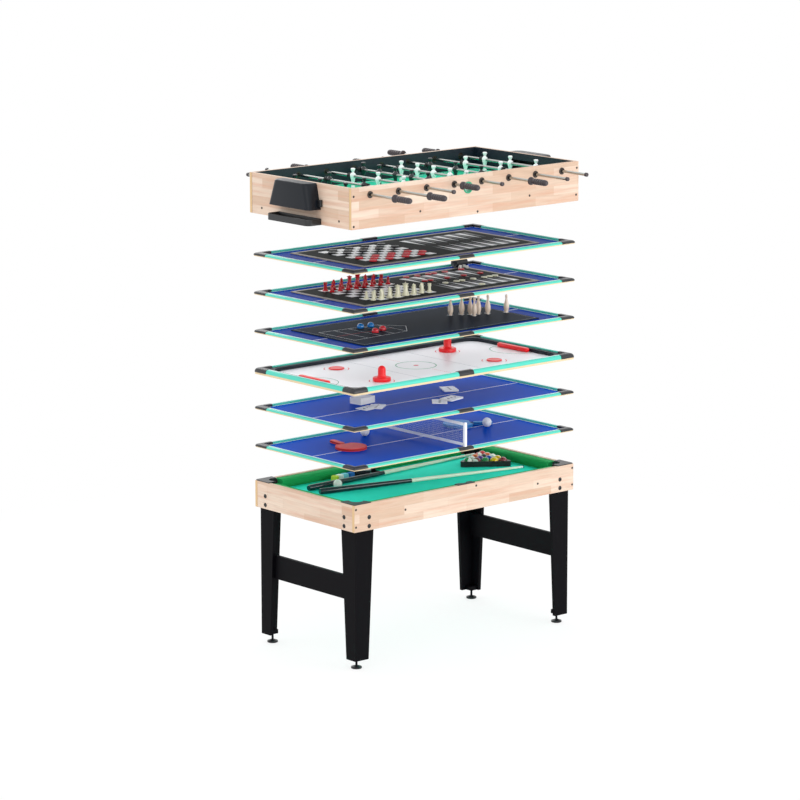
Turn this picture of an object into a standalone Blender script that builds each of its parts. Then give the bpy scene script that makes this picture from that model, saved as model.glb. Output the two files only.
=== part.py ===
"""Multi game table: a pool table on four legs, six game boards and a table football top.

The boards stand apart above the pool table, in the order in which they stack. The long side of the
table runs along X, its front faces -Y, Z is up, and the origin is on the floor under the middle.
All lengths are in metres.
"""
import math

import bmesh
import bpy
from mathutils import Matrix, Vector

for leftover in list(bpy.data.objects):
    bpy.data.objects.remove(leftover, do_unlink=True)

# Driving dimensions of the whole table
TABLE_LENGTH = 1.22
TABLE_WIDTH = 0.64
BASE_HEIGHT = 0.6965
BOARD_COUNT = 6
BOARD_SPACING = 0.1608
FIRST_BOARD_RISE = 0.156
SEAT_GAP = 0.0003
LET_IN = 0.0006

# Pool table cabinet
APRON_HEIGHT = 0.1125
APRON_THICKNESS = 0.015
BED_DEPTH = 0.045
BED_THICKNESS = 0.009
CUSHION_WIDTH = 0.034
CUSHION_FOOT = 0.020
CUSHION_TOP_DROP = 0.003
CUSHION_NOSE_DROP = 0.014
CUSHION_NOSE_SLOPE = 0.010
CUSHION_END_CUT = 0.016
POCKET_RADIUS = 0.0275
POCKET_WALL = 0.003
POCKET_CUP_DEPTH = 0.042
PLATE_THICKNESS = 0.0035
PLATE_REACH = 0.088
PLATE_STRIP = 0.026
PLATE_ROUNDING = 0.010
MID_PLATE_LENGTH = 0.092
POCKET_SIDES = 8
CORNER_MOUTH = (-40.0, 130.0)
MID_MOUTH = (40.0, 140.0)
NOTCH_ARC = 270.0
NOTCH_STEPS = 12

# Legs, stretchers and levelling feet
LEG_THICKNESS = 0.015
LEG_TOP_X = 0.102
LEG_FOOT_X = 0.071
LEG_TOP_Y = 0.090
LEG_FOOT_Y = 0.058
LEG_BOTTOM = 0.038
STRETCHER_BOTTOM = 0.285
STRETCHER_HEIGHT = 0.100
BRACKET_SIZE = 0.034
BRACKET_HEIGHT = 0.018
FOOT_RADIUS = 0.0225
FOOT_PAD_HEIGHT = 0.009
FOOT_CONE_HEIGHT = 0.005
FOOT_STEM_RADIUS = 0.005
FOOT_SIDES = 8
BOLT_RADIUS = 0.0075
BOLT_HEAD = 0.0045
BOLT_SIDES = 6
BOLT_CROWN_SHARE = 0.7
BOLT_INSET_X = 0.078
BOLT_INSET_Y = 0.066
BOLT_DROPS = (0.058, 0.095)

# Pool set
BALL_RADIUS = 0.019
RACKED_BALL_SIDES = 6
BALL_SIDES = 8
BALL_RINGS = 4
RACK_WALL = 0.005
RACK_HEIGHT = 0.024
RACK_ROWS = 5
RACK_TURN = -126.0
RACK_END_DISTANCE = 0.148
RACK_Y = 0.081
CUE_BALL_X = -0.325
CUE_BALL_Y = 0.125
CUE_TIP_RADIUS = 0.005
CUE_BUTT_RADIUS = 0.0125
CUE_SPLICE_RADIUS = 0.009
CUE_LENGTH = 1.000
CUE_SPLICE = 0.36
CUE_SIDES = 8
CUE_BUTTS = ((-0.450, 0.165), (-0.455, 0.085))
CUE_TURNS = (4.0, -10.5)

# Game boards
BOARD_THICKNESS = 0.005
EDGING_WIDTH = 0.024
EDGING_HEIGHT = 0.009
HOCKEY_EDGING_HEIGHT = 0.021
EDGING_ROUND = 0.004
EDGING_INSET = 0.0015
CAP_LENGTH = 0.058
MID_CAP_LENGTH = 0.080
CAP_WIDTH = 0.027
CAP_SKIRT = 0.003
CAP_CROWN = 0.0012

# Table tennis set
NET_POST_SIZE = 0.012
NET_POST_HEIGHT = 0.112
NET_TAPE_HEIGHT = 0.012
NET_TAPE_THICKNESS = 0.004
NET_TAPE_DROP = 0.002
NET_SHEET_THICKNESS = 0.0015
PADDLE_RADIUS = 0.066
PADDLE_THICKNESS = 0.011
PADDLE_HANDLE_LENGTH = 0.084
PADDLE_HANDLE_WIDTH = 0.024
PADDLE_SIDES = 16
TENNIS_BALL_RADIUS = 0.020
PADDLES = (("red", -0.345, 0.014, 82.0), ("blue", 0.305, 0.075, -28.0))
TENNIS_BALLS = ((-0.138, 0.169), (0.376, -0.030))

# Playing cards
CARD_LENGTH = 0.088
CARD_WIDTH = 0.063
CARD_DECKS = ((-0.165, 0.135, 8.0, 0.024), (0.255, 0.110, 62.0, 0.008), (0.120, -0.085, 12.0, 0.008))

# Slide hockey set
SURROUND_WIDTH = 0.020
SURROUND_ROUNDING = 0.060
SURROUND_DROP = 0.002
SURROUND_STEPS = 5
HOCKEY_GOAL_LENGTH = 0.190
HOCKEY_GOAL_WIDTH = 0.026
HOCKEY_GOAL_HEIGHT = 0.018
HOCKEY_GOAL_ROUNDING = 0.010
HOCKEY_GOAL_STEPS = 3
STRIKER_RADIUS = 0.0375
STRIKER_BASE = 0.014
STRIKER_SLOPE = 0.006
STRIKER_KNOB_RADIUS = 0.017
STRIKER_HEIGHT = 0.064
STRIKER_DOME_SHARE = 0.7
STRIKER_CROWN_SHARE = 0.6
DISC_RADIUS = 0.033
DISC_HEIGHT = 0.005
STRIKERS = ((-0.330, -0.165), (0.310, 0.150))
DISCS = ((-0.300, 0.160), (0.320, -0.135))
TURNED_SIDES = 8

# Overlay panels of the upper three boards
OVERLAY_LENGTH = 0.966
OVERLAY_WIDTH = 0.470
OVERLAY_THICKNESS = 0.004

# Shuffleboard and bowling set
PIN_HEIGHT = 0.077
PIN_RADIUS = 0.0118
PIN_PITCH = 0.060
PIN_ROWS = 4
PIN_APEX_X = 0.175
PIN_Y = -0.010
PIN_SIDES = 6
PIN_SHARES = ((0.0, 0.7), (0.3, 1.0), (0.68, 0.4), (0.86, 0.52))
PUCK_SHARES = ((0.0, 0.85), (0.5, 1.0), (1.0, 0.65))
PUCK_RADIUS = 0.0145
PUCK_HEIGHT = 0.020
PUCKS = ((-0.240, 0.075), (-0.190, 0.068), (-0.262, -0.045), (-0.205, -0.025))

# Chess, backgammon and checkers sets
SQUARE = 0.0435
SQUARES = 8
BACK_ROW = 3.5
PAWN_ROW = 2.5
SQUARES_CENTRE_X = -0.212
CHESS_RADIUS = 0.0125
CHESS_HEIGHTS = (0.036, 0.042, 0.046, 0.050, 0.056, 0.046, 0.042, 0.036)
PAWN_HEIGHT = 0.032
CHESS_SIDES = 5
CHESS_NECK_SHARE = 0.35
CHESS_NECK_RISE_SHARE = 0.45
CHESS_HEAD_SHARE = 0.6
CHESS_HEAD_RISE_SHARE = 0.8
POINTS_START_X = 0.055
POINTS_LENGTH = 0.375
POINT_COUNT = 12
POINT_ROWS = (0.180, 0.060, -0.035, -0.160)
COUNTER_RADIUS = 0.0135
COUNTER_HEIGHT = 0.0045
COUNTER_SIDES = 5
CHECKER_RADIUS = 0.0165
CHECKER_HEIGHT = 0.006
CHECKER_ROWS = (0, 1, 2, 5, 6, 7)
RED_COUNTERS = ((1, 0), (3, 0), (5, 0), (6, 0), (8, 0), (11, 0), (1, 1), (2, 1), (5, 1), (8, 1), (11, 1))
CREAM_COUNTERS = ((2, 2), (4, 2), (5, 2), (7, 2), (9, 2), (10, 2), (11, 2), (5, 3))
DICE_CUP_RADIUS = 0.021
DICE_CUP_LENGTH = 0.062
DICE_CUP_WALL = 0.003
DICE_CUP_SIDES = 8
DICE_CUP_END_DISTANCE = 0.105
DICE_CUP_Y = 0.258
DICE_SIZE = 0.011
DICE = ((0.430, 0.205), (0.448, 0.222), (0.462, 0.196), (0.470, 0.224))

# Table football cabinet
SOCCER_LENGTH = 1.245
SOCCER_WIDTH = 0.645
SOCCER_HEIGHT = 0.167
SOCCER_RISE = 0.1665
WALL_THICKNESS = 0.015
FIELD_DROP = 0.092
FIELD_THICKNESS = 0.006
LEDGER_SIZE = 0.015
ROD_DROP = 0.033
ROD_END_MARGIN = 0.0975
ROD_RADIUS = 0.0060
ROD_PLAY = 0.0003
ROD_SIDES = 6
FIGURE_SIDES = 5
BUMPER_SIDES = 6
BUSHING_RADIUS = 0.0145
BUSHING_LIP = 0.004
BUSHING_INSET = 0.001
BUSHING_SIDES = 6
INLET_RADIUS = 0.0245
INLET_WALL = 0.005
INLET_SIDES = 8
INLET_X = 0.0
INLET_DROP = 0.053
GOAL_WIDTH = 0.190
GOAL_HEIGHT = 0.062
HOUSING_TOP_WIDTH = 0.235
HOUSING_FOOT_WIDTH = 0.285
HOUSING_DEPTH = 0.062
HOUSING_HEIGHT = 0.105
HOUSING_WALL = 0.004
HOUSING_TOP_SHARE = 0.7
HOUSING_FOOT_SHARE = 0.8
TRAY_WIDTH = 0.270
TRAY_DEPTH = 0.070
TRAY_HEIGHT = 0.026
TRAY_WALL = 0.004
TRAY_ROUNDING = 0.0245
TRAY_STEPS = 3

# Table football rods: figures on the rod, their spacing, team, and rest offset as a share of travel
FIGURE_WIDTH = 0.0125
BUMPER_LENGTH = 0.014
BUMPER_RADIUS = 0.0115
WALL_PLAY = 0.004
GRIP_LENGTH = 0.100
GRIP_RADIUS = 0.0135
GRIP_COLLAR_RADIUS = 0.0175
GRIP_COLLAR = 0.012
GRIP_NECK_SHARE = 0.72
ROD_MARGIN = 0.016
ROD_CAP_RADIUS = 0.0085
ROD_CAP_LENGTH = 0.012
SPACING_THREE = 0.160
SPACING_TWO = 0.220
SPACING_FIVE = 0.102
HOME, AWAY = -1, 1
RODS = (
    (3, SPACING_THREE, HOME, -0.10), (2, SPACING_TWO, HOME, 0.0), (3, SPACING_THREE, AWAY, -0.19),
    (5, SPACING_FIVE, HOME, 0.60), (5, SPACING_FIVE, AWAY, -0.35), (3, SPACING_THREE, HOME, 0.05),
    (2, SPACING_TWO, AWAY, 0.0), (3, SPACING_THREE, AWAY, -0.05),
)
# Figure sections from the foot up: height from the rod's axis, half width along the rod, half depth
FIGURE_SECTIONS = (
    (-0.052, 0.0085, 0.0100), (-0.034, 0.0060, 0.0065), (0.008, FIGURE_WIDTH, 0.0095),
    (0.015, 0.0060, 0.0060), (0.025, 0.0085, 0.0085), (0.033, 0.0045, 0.0045),
)

# Heights and faces that follow from the sizes above
BED_TOP = BASE_HEIGHT - BED_DEPTH
BED_UNDERSIDE = BED_TOP - BED_THICKNESS
APRON_INNER_X = TABLE_LENGTH / 2 - APRON_THICKNESS
APRON_INNER_Y = TABLE_WIDTH / 2 - APRON_THICKNESS
POCKET_OUTER = POCKET_RADIUS + POCKET_WALL
CORNER_POCKET_INSET = APRON_THICKNESS + LEG_THICKNESS + 2 * SEAT_GAP + POCKET_OUTER
MID_POCKET_INSET = APRON_THICKNESS + SEAT_GAP + POCKET_OUTER
SOCCER_TOP = BASE_HEIGHT + FIRST_BOARD_RISE + (BOARD_COUNT - 1) * BOARD_SPACING + SOCCER_RISE + SOCCER_HEIGHT
SOCCER_BOTTOM = SOCCER_TOP - SOCCER_HEIGHT
ROD_HEIGHT = SOCCER_TOP - ROD_DROP
ROD_BORE = (ROD_RADIUS + ROD_PLAY) / math.cos(math.pi / ROD_SIDES)
SOCCER_INNER_X = SOCCER_LENGTH / 2 - WALL_THICKNESS
SOCCER_INNER_Y = SOCCER_WIDTH / 2 - WALL_THICKNESS


def rim_height(level):
    """Height of the edging's top on board number level, counted from 1 upwards."""
    return BASE_HEIGHT + FIRST_BOARD_RISE + (level - 1) * BOARD_SPACING


# Colours as linear red, green and blue, with roughness and metallic value
FINISHES = {
    "beech_panel": ((0.72, 0.50, 0.33), 0.5, 0.0),
    "black_plastic": ((0.012, 0.013, 0.014), 0.4, 0.0),
    "green_cloth": ((0.010, 0.42, 0.27), 0.9, 0.0),
    "green_cushion": ((0.004, 0.20, 0.08), 0.8, 0.0),
    "black_board": ((0.020, 0.018, 0.022), 0.5, 0.0),
    "chromed_steel": ((0.80, 0.80, 0.82), 0.15, 1.0),
    "maple_wood": ((0.75, 0.60, 0.40), 0.4, 0.0),
    "pool_ball_resin": ((0.80, 0.70, 0.20), 0.15, 0.0),
    "blue_board": ((0.010, 0.060, 0.42), 0.35, 0.0),
    "green_edging": ((0.020, 0.38, 0.28), 0.4, 0.0),
    "white_plastic": ((0.82, 0.82, 0.84), 0.35, 0.0),
    "red_rubber": ((0.62, 0.02, 0.02), 0.6, 0.0),
    "blue_rubber": ((0.01, 0.25, 0.62), 0.6, 0.0),
    "printed_card": ((0.85, 0.85, 0.88), 0.5, 0.0),
    "red_plastic": ((0.68, 0.008, 0.010), 0.3, 0.0),
    "white_laminate": ((0.78, 0.80, 0.84), 0.3, 0.0),
    "slate_laminate": ((0.035, 0.045, 0.055), 0.4, 0.0),
    "cream_plastic": ((0.80, 0.74, 0.55), 0.4, 0.0),
    "green_field": ((0.005, 0.42, 0.20), 0.4, 0.0),
}


def finish(name):
    """A Principled material for one of the finishes, made once."""
    if name in bpy.data.materials:
        return bpy.data.materials[name]
    colour, roughness, metallic = FINISHES[name]
    material = bpy.data.materials.new(name)
    material.use_nodes = True
    shader = material.node_tree.nodes["Principled BSDF"]
    shader.inputs["Base Color"].default_value = (*colour, 1.0)
    shader.inputs["Roughness"].default_value = roughness
    shader.inputs["Metallic"].default_value = metallic
    return material


def block(x, y, z):
    """A box from its lowest and highest X, Y and Z."""
    solid = bmesh.new()
    size = Matrix.Diagonal((x[1] - x[0], y[1] - y[0], z[1] - z[0], 1.0))
    centre = Matrix.Translation(((x[0] + x[1]) / 2, (y[0] + y[1]) / 2, (z[0] + z[1]) / 2))
    bmesh.ops.create_cube(solid, size=1.0, matrix=centre @ size)
    return solid


def prism(outline, low, high, holes=()):
    """An outline in X and Y, with any holes cut through it, extruded from low to high."""
    solid = bmesh.new()
    edges = []
    for loop in (outline, *holes):
        corners = [solid.verts.new((x, y, low)) for x, y in loop]
        edges += [solid.edges.new((a, b)) for a, b in zip(corners, corners[1:] + corners[:1])]
    if holes:
        bmesh.ops.triangle_fill(solid, use_beauty=True, edges=edges)
    else:
        solid.faces.new(list(solid.verts))
    raised = bmesh.ops.extrude_face_region(solid, geom=list(solid.faces))
    lifted = [item for item in raised["geom"] if isinstance(item, bmesh.types.BMVert)]
    bmesh.ops.translate(solid, verts=lifted, vec=(0, 0, high - low))
    bmesh.ops.recalc_face_normals(solid, faces=list(solid.faces))
    return solid


def turned(profile, sides):
    """A profile of radius and height points spun once round Z; one with a bore repeats its first point."""
    solid = bmesh.new()
    points = [solid.verts.new((radius, 0, height)) for radius, height in profile]
    line = [solid.edges.new(pair) for pair in zip(points, points[1:])]
    bmesh.ops.spin(solid, geom=points + line, cent=(0, 0, 0), axis=(0, 0, 1), angle=math.tau,
                   steps=sides, use_merge=True)
    bmesh.ops.remove_doubles(solid, verts=list(solid.verts), dist=SEAT_GAP / 10)
    bmesh.ops.recalc_face_normals(solid, faces=list(solid.faces))
    return solid


def ring(outer, inner, low, high, sides):
    """A plain ring with a bore."""
    return turned(((outer, low), (outer, high), (inner, high), (inner, low), (outer, low)), sides)


def loft(sections):
    """A closed solid through sections that have the same number of points."""
    solid = bmesh.new()
    rows = [[solid.verts.new(point) for point in section] for section in sections]
    for lower, upper in zip(rows, rows[1:]):
        for i in range(len(lower)):
            solid.faces.new((lower[i - 1], lower[i], upper[i], upper[i - 1]))
    solid.faces.new(rows[0])
    solid.faces.new(rows[-1])
    bmesh.ops.recalc_face_normals(solid, faces=list(solid.faces))
    return solid


def arc(radius, first, last, steps, centre=(0, 0)):
    """Points along an arc, with its angles in degrees."""
    angles = [math.radians(first + (last - first) * i / steps) for i in range(steps + 1)]
    return [(centre[0] + radius * math.cos(a), centre[1] + radius * math.sin(a)) for a in angles]


def circle(radius, sides, centre=(0, 0)):
    return arc(radius, 0, 360, sides, centre)[:-1]


def rectangle(length, width):
    x, y = length / 2, width / 2
    return [(-x, -y), (x, -y), (x, y), (-x, y)]


def rounded_rectangle(length, width, rounding, steps):
    outline = []
    for turn, (sx, sy) in enumerate(((1, 1), (-1, 1), (-1, -1), (1, -1))):
        centre = (sx * (length / 2 - rounding), sy * (width / 2 - rounding))
        outline += arc(rounding, 90 * turn, 90 * turn + 90, steps, centre)
    return outline


def placed(solid, x=0.0, y=0.0, z=0.0, turn=0.0, axis="Z"):
    """The same solid, turned about an axis through the origin and then moved."""
    change = Matrix.Translation((x, y, z)) @ Matrix.Rotation(math.radians(turn), 4, axis)
    bmesh.ops.transform(solid, matrix=change, verts=list(solid.verts))
    return solid


def mirrored(solid, x=1, y=1):
    """The same solid, mirrored in X and Y where the sign is negative, with its faces outward."""
    bmesh.ops.transform(solid, matrix=Matrix.Diagonal((x, y, 1, 1)), verts=list(solid.verts))
    bmesh.ops.recalc_face_normals(solid, faces=list(solid.faces))
    return solid


def upright(solid):
    """Stands a prism drawn in X and Y on its edge, so that its drawn Y becomes Z and it runs along Y."""
    return placed(solid, turn=90, axis="X")


def united(solids):
    """One mesh of solids that are let into each other, joined by a Boolean union."""
    pieces = []
    for solid in solids:
        mesh = bpy.data.meshes.new("blank")
        solid.to_mesh(mesh)
        solid.free()
        pieces.append(bpy.data.objects.new("blank", mesh))
    bench = bpy.data.collections.new("bench")
    bpy.context.scene.collection.children.link(bench)
    bpy.context.scene.collection.objects.link(pieces[0])
    for piece in pieces[1:]:
        bench.objects.link(piece)
    if len(pieces) > 1:
        join = pieces[0].modifiers.new("join", "BOOLEAN")
        join.operation = "UNION"
        join.operand_type = "COLLECTION"
        join.collection = bench
    graph = bpy.context.evaluated_depsgraph_get()
    mesh = bpy.data.meshes.new_from_object(pieces[0].evaluated_get(graph))
    for piece in pieces:
        bpy.data.objects.remove(piece, do_unlink=True)
    bpy.data.collections.remove(bench)
    return mesh


def assemble(name, finish_name, solids, origin=(0, 0, 0), smooth=False):
    """One named object, one closed body, with its own material and its origin at a joint."""
    mesh = united(solids)
    mesh.name = name
    mesh.transform(Matrix.Translation(-Vector(origin)))
    mesh.materials.clear()
    mesh.materials.append(finish(finish_name))
    if smooth:
        mesh.shade_smooth()
        mesh.set_sharp_from_angle(angle=math.radians(50))
    node = bpy.data.objects.new(name, mesh)
    node.location = origin
    bpy.context.scene.collection.objects.link(node)
    return node


CORNERS = (("front_left", -1, -1), ("front_right", 1, -1), ("back_right", 1, 1), ("back_left", -1, 1))
SIDES = (("front", -1), ("back", 1))
ENDS = (("left", -1), ("right", 1))


def build_aprons():
    """Long boards run the full length, the end boards fit between them, and leg bolts sit in both."""
    height = (BASE_HEIGHT - APRON_HEIGHT, BASE_HEIGHT)
    half_x, half_y = TABLE_LENGTH / 2, TABLE_WIDTH / 2
    for name, sy in SIDES:
        across = sorted((sy * APRON_INNER_Y, sy * half_y))
        board = block((-half_x, half_x), across, height)
        bolts = []
        for drop in BOLT_DROPS:
            for x in (BOLT_INSET_X - half_x, half_x - BOLT_INSET_X):
                bolt = placed(dome(BOLT_RADIUS, BOLT_HEAD), turn=-90 * sy, axis="X")
                bolts.append(placed(bolt, x, sy * (half_y - LET_IN), BASE_HEIGHT - drop))
        assemble(name + "_apron", "beech_panel", [board, *bolts])
    reach_y = APRON_INNER_Y - SEAT_GAP
    for name, sx in ENDS:
        along = sorted((sx * APRON_INNER_X, sx * half_x))
        board = block(along, (-reach_y, reach_y), height)
        bolts = []
        for drop in BOLT_DROPS:
            for y in (BOLT_INSET_Y - half_y, half_y - BOLT_INSET_Y):
                bolt = placed(dome(BOLT_RADIUS, BOLT_HEAD), turn=90 * sx, axis="Y")
                bolts.append(placed(bolt, sx * (half_x - LET_IN), y, BASE_HEIGHT - drop))
        assemble(name + "_apron", "beech_panel", [board, *bolts])


def dome(radius, height):
    """A low bolt head standing on its flat side."""
    return turned(((0, 0), (radius, 0), (radius * BOLT_CROWN_SHARE, height), (0, height)), BOLT_SIDES)


def corner_pocket_centre():
    return (TABLE_LENGTH / 2 - CORNER_POCKET_INSET, TABLE_WIDTH / 2 - CORNER_POCKET_INSET)


def mid_pocket_centre():
    return (0.0, TABLE_WIDTH / 2 - MID_POCKET_INSET)


def bed_board():
    """Board with round notches for the pockets."""
    reach_x, reach_y = APRON_INNER_X - SEAT_GAP, APRON_INNER_Y - SEAT_GAP
    notch = (POCKET_OUTER + SEAT_GAP) / math.cos(math.radians(NOTCH_ARC / NOTCH_STEPS / 2))
    cx, cy = corner_pocket_centre()
    _, my = mid_pocket_centre()
    swing = math.degrees(math.acos(min(1.0, (reach_x - cx) / notch)))
    dip = math.degrees(math.asin(min(1.0, (reach_y - my) / notch)))
    first = arc(notch, -swing, swing - NOTCH_ARC, NOTCH_STEPS, (cx, cy))
    middle = arc(notch, dip, -180 - dip, NOTCH_STEPS, (0.0, my))
    top = first + middle
    left = [(-x, y) for x, y in reversed(first)]
    half = top + left
    outline = half + [(-x, -y) for x, y in half]
    return prism(outline, BED_UNDERSIDE, BED_TOP)


def cushion(back, face, start, stop, along_x):
    """Rubber rail in cloth: its back on the apron, its nose towards the bed, its ends cut back."""
    inward = 1 if face > back else -1
    profile = (
        (0.0, BED_TOP - LET_IN), (0.0, BASE_HEIGHT - CUSHION_TOP_DROP),
        (CUSHION_WIDTH - CUSHION_NOSE_SLOPE, BASE_HEIGHT - CUSHION_TOP_DROP),
        (CUSHION_WIDTH, BASE_HEIGHT - CUSHION_NOSE_DROP),
        (CUSHION_WIDTH, BASE_HEIGHT - CUSHION_NOSE_DROP - CUSHION_NOSE_SLOPE),
        (CUSHION_FOOT, BED_TOP - LET_IN),
    )
    sections = []
    for end, sign in ((start, 1), (stop, -1)):
        section = []
        for depth, height in profile:
            along = end + sign * CUSHION_END_CUT * depth / CUSHION_WIDTH
            across = back + inward * depth
            section.append((along, across, height) if along_x else (across, along, height))
        sections.append(section)
    return loft(sections)


def build_bed():
    """The clothed bed with its six rubber rails."""
    cx, cy = corner_pocket_centre()
    clear = POCKET_OUTER + SEAT_GAP
    rails = [bed_board()]
    for side in (-1, 1):
        back_y = side * (APRON_INNER_Y - 2 * SEAT_GAP)
        rails.append(cushion(back_y, 0.0, clear, cx - clear, True))
        rails.append(cushion(back_y, 0.0, clear - cx, -clear, True))
        back_x = side * (APRON_INNER_X - 2 * SEAT_GAP)
        rails.append(cushion(back_x, 0.0, clear - cy, cy - clear, False))
    assemble("pool_bed", "green_cloth", rails)


def pocket_cup(centre, first, last):
    """Cup under the bed and a curved shield that guides the ball down into it."""
    low = BED_TOP - POCKET_CUP_DEPTH
    cup = turned(((0, low), (POCKET_OUTER, low), (POCKET_OUTER, BED_TOP), (POCKET_RADIUS, BED_TOP),
                  (POCKET_RADIUS, low + POCKET_WALL), (0, low + POCKET_WALL)), POCKET_SIDES)
    outer, inner = POCKET_OUTER - LET_IN, POCKET_RADIUS + LET_IN
    steps = round((last - first) * POCKET_SIDES / 360)
    band = arc(outer, first, last, steps) + arc(inner, last, first, steps)
    shield = prism(band, BED_TOP - LET_IN, BASE_HEIGHT + SEAT_GAP + LET_IN)
    return [placed(cup, *centre), placed(shield, *centre)]


def corner_plate():
    """Plate over the corner of the rail, drawn for the corner at +X and +Y."""
    outer_x, outer_y = TABLE_LENGTH / 2, TABLE_WIDTH / 2
    mouth = arc(POCKET_RADIUS + POCKET_WALL / 2, *CORNER_MOUTH, POCKET_SIDES // 2, corner_pocket_centre())
    outline = [
        (outer_x - PLATE_REACH, outer_y), (outer_x - PLATE_ROUNDING, outer_y),
        (outer_x, outer_y - PLATE_ROUNDING), (outer_x, outer_y - PLATE_REACH),
        (outer_x - PLATE_STRIP, outer_y - PLATE_REACH), *mouth,
        (outer_x - PLATE_REACH, outer_y - PLATE_STRIP),
    ]
    return prism(outline, BASE_HEIGHT + SEAT_GAP, BASE_HEIGHT + PLATE_THICKNESS)


def mid_plate():
    """Plate over the middle pocket, drawn for the side at +Y."""
    outer_y = TABLE_WIDTH / 2
    mouth = arc(POCKET_RADIUS + POCKET_WALL / 2, *MID_MOUTH, POCKET_SIDES // 2, mid_pocket_centre())
    reach = MID_PLATE_LENGTH / 2
    outline = [(-reach, outer_y), (-reach, outer_y - PLATE_STRIP), *reversed(mouth),
               (reach, outer_y - PLATE_STRIP), (reach, outer_y)]
    return prism(outline, BASE_HEIGHT + SEAT_GAP, BASE_HEIGHT + PLATE_THICKNESS)


def build_pockets():
    for name, sx, sy in CORNERS:
        solids = [*pocket_cup(corner_pocket_centre(), -90, 180), corner_plate()]
        assemble(name + "_pocket", "black_plastic", [mirrored(solid, sx, sy) for solid in solids])
    for name, sy in SIDES:
        solids = [*pocket_cup(mid_pocket_centre(), 0, 180), mid_plate()]
        assemble("mid_" + name + "_pocket", "black_plastic", [mirrored(solid, 1, sy) for solid in solids])


def leg():
    """Two tapered boards meeting at the outer corner, drawn for the corner at +X and +Y."""
    x, y = APRON_INNER_X - SEAT_GAP, APRON_INNER_Y - SEAT_GAP
    sections = []
    for height, flange_x, flange_y in ((LEG_BOTTOM, LEG_FOOT_X, LEG_FOOT_Y),
                                       (BED_UNDERSIDE - SEAT_GAP, LEG_TOP_X, LEG_TOP_Y)):
        inner_x, inner_y = x - LEG_THICKNESS, y - LEG_THICKNESS
        sections.append([(px, py, height) for px, py in (
            (x, y), (x - flange_x, y), (x - flange_x, inner_y), (inner_x, inner_y),
            (inner_x, y - flange_y), (x, y - flange_y))])
    return loft(sections)


def foot_centre():
    inset = LEG_THICKNESS + 2 * SEAT_GAP + BRACKET_SIZE / 2
    return (APRON_INNER_X - inset, APRON_INNER_Y - inset)


def build_legs():
    bx, by = foot_centre()
    half = BRACKET_SIZE / 2
    inner_x, inner_y = bx - half, by - half
    for name, sx, sy in CORNERS:
        reach = BRACKET_SIZE + SEAT_GAP + LET_IN
        bracket = block((inner_x, inner_x + reach), (inner_y, inner_y + reach),
                        (LEG_BOTTOM + LET_IN, LEG_BOTTOM + BRACKET_HEIGHT))
        assemble(name + "_leg", "black_board", [mirrored(piece, sx, sy) for piece in (leg(), bracket)])

    outer = APRON_INNER_X - LEG_THICKNESS - 2 * SEAT_GAP
    reach_y = APRON_INNER_Y - LEG_THICKNESS - 2 * SEAT_GAP
    for name, sx in ENDS:
        board = block((outer - LEG_THICKNESS, outer), (-reach_y, reach_y),
                      (STRETCHER_BOTTOM, STRETCHER_BOTTOM + STRETCHER_HEIGHT))
        assemble(name + "_leg_stretcher", "black_board", [mirrored(board, sx)])

    top = LEG_BOTTOM + LET_IN - SEAT_GAP
    for name, sx, sy in CORNERS:
        foot = turned(((0, 0), (FOOT_RADIUS, 0), (FOOT_RADIUS, FOOT_PAD_HEIGHT),
                       (FOOT_STEM_RADIUS, FOOT_PAD_HEIGHT + FOOT_CONE_HEIGHT),
                       (FOOT_STEM_RADIUS, top), (0, top)), FOOT_SIDES)
        origin = (sx * bx, sy * by, 0)
        assemble(name + "_leveling_foot", "black_plastic", [placed(foot, *origin)], origin, smooth=True)


def ball(radius, sides=BALL_SIDES):
    profile = [(radius * math.sin(math.pi * i / BALL_RINGS), -radius * math.cos(math.pi * i / BALL_RINGS))
               for i in range(1, BALL_RINGS)]
    return turned([(0, -radius), *profile, (0, radius)], sides)


def ball_pitch():
    """Racked balls press on each other, so their corners are let in a little."""
    return 2 * BALL_RADIUS - LET_IN


def rack_places():
    """Places of fifteen balls in five rows, as offsets from the rack's middle."""
    step = ball_pitch() * math.sin(math.radians(60))
    centre = step * (RACK_ROWS - 1) * 2 / 3
    return [(row * step - centre, (place - row / 2) * ball_pitch())
            for row in range(RACK_ROWS) for place in range(row + 1)]


def build_pool_set():
    floor = BED_TOP + SEAT_GAP
    cue_ball = placed(ball(BALL_RADIUS), CUE_BALL_X, CUE_BALL_Y, floor + BALL_RADIUS)
    assemble("cue_ball", "pool_ball_resin", [cue_ball], smooth=True)

    outer = triangle(rack_inscribed() + RACK_WALL)
    racked = [prism(outer, floor, floor + RACK_HEIGHT, [triangle(rack_inscribed())])]
    half_side = 180 / RACKED_BALL_SIDES
    rack_x = TABLE_LENGTH / 2 - RACK_END_DISTANCE
    for x, y in rack_places():
        racked.append(placed(ball(BALL_RADIUS, RACKED_BALL_SIDES), x, y, floor + BALL_RADIUS, turn=half_side))
    racked = [placed(placed(solid, turn=RACK_TURN), rack_x, RACK_Y) for solid in racked]
    assemble("racked_balls", "pool_ball_resin", racked, smooth=True)

    for number, ((x, y), turn) in enumerate(zip(CUE_BUTTS, CUE_TURNS), 1):
        stick = turned(((0, 0), (CUE_BUTT_RADIUS, 0), (CUE_SPLICE_RADIUS, CUE_SPLICE),
                        (CUE_TIP_RADIUS, CUE_LENGTH), (0, CUE_LENGTH)), CUE_SIDES)
        drop = math.degrees(math.atan((CUE_BUTT_RADIUS - CUE_TIP_RADIUS) / CUE_LENGTH))
        stick = placed(stick, turn=90 + drop, axis="Y")
        lift = floor + CUE_BUTT_RADIUS * math.cos(math.radians(drop)) + SEAT_GAP
        assemble(f"cue_stick_{number}", "maple_wood", [placed(stick, x, y, lift, turn=turn)], smooth=True)


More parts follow.
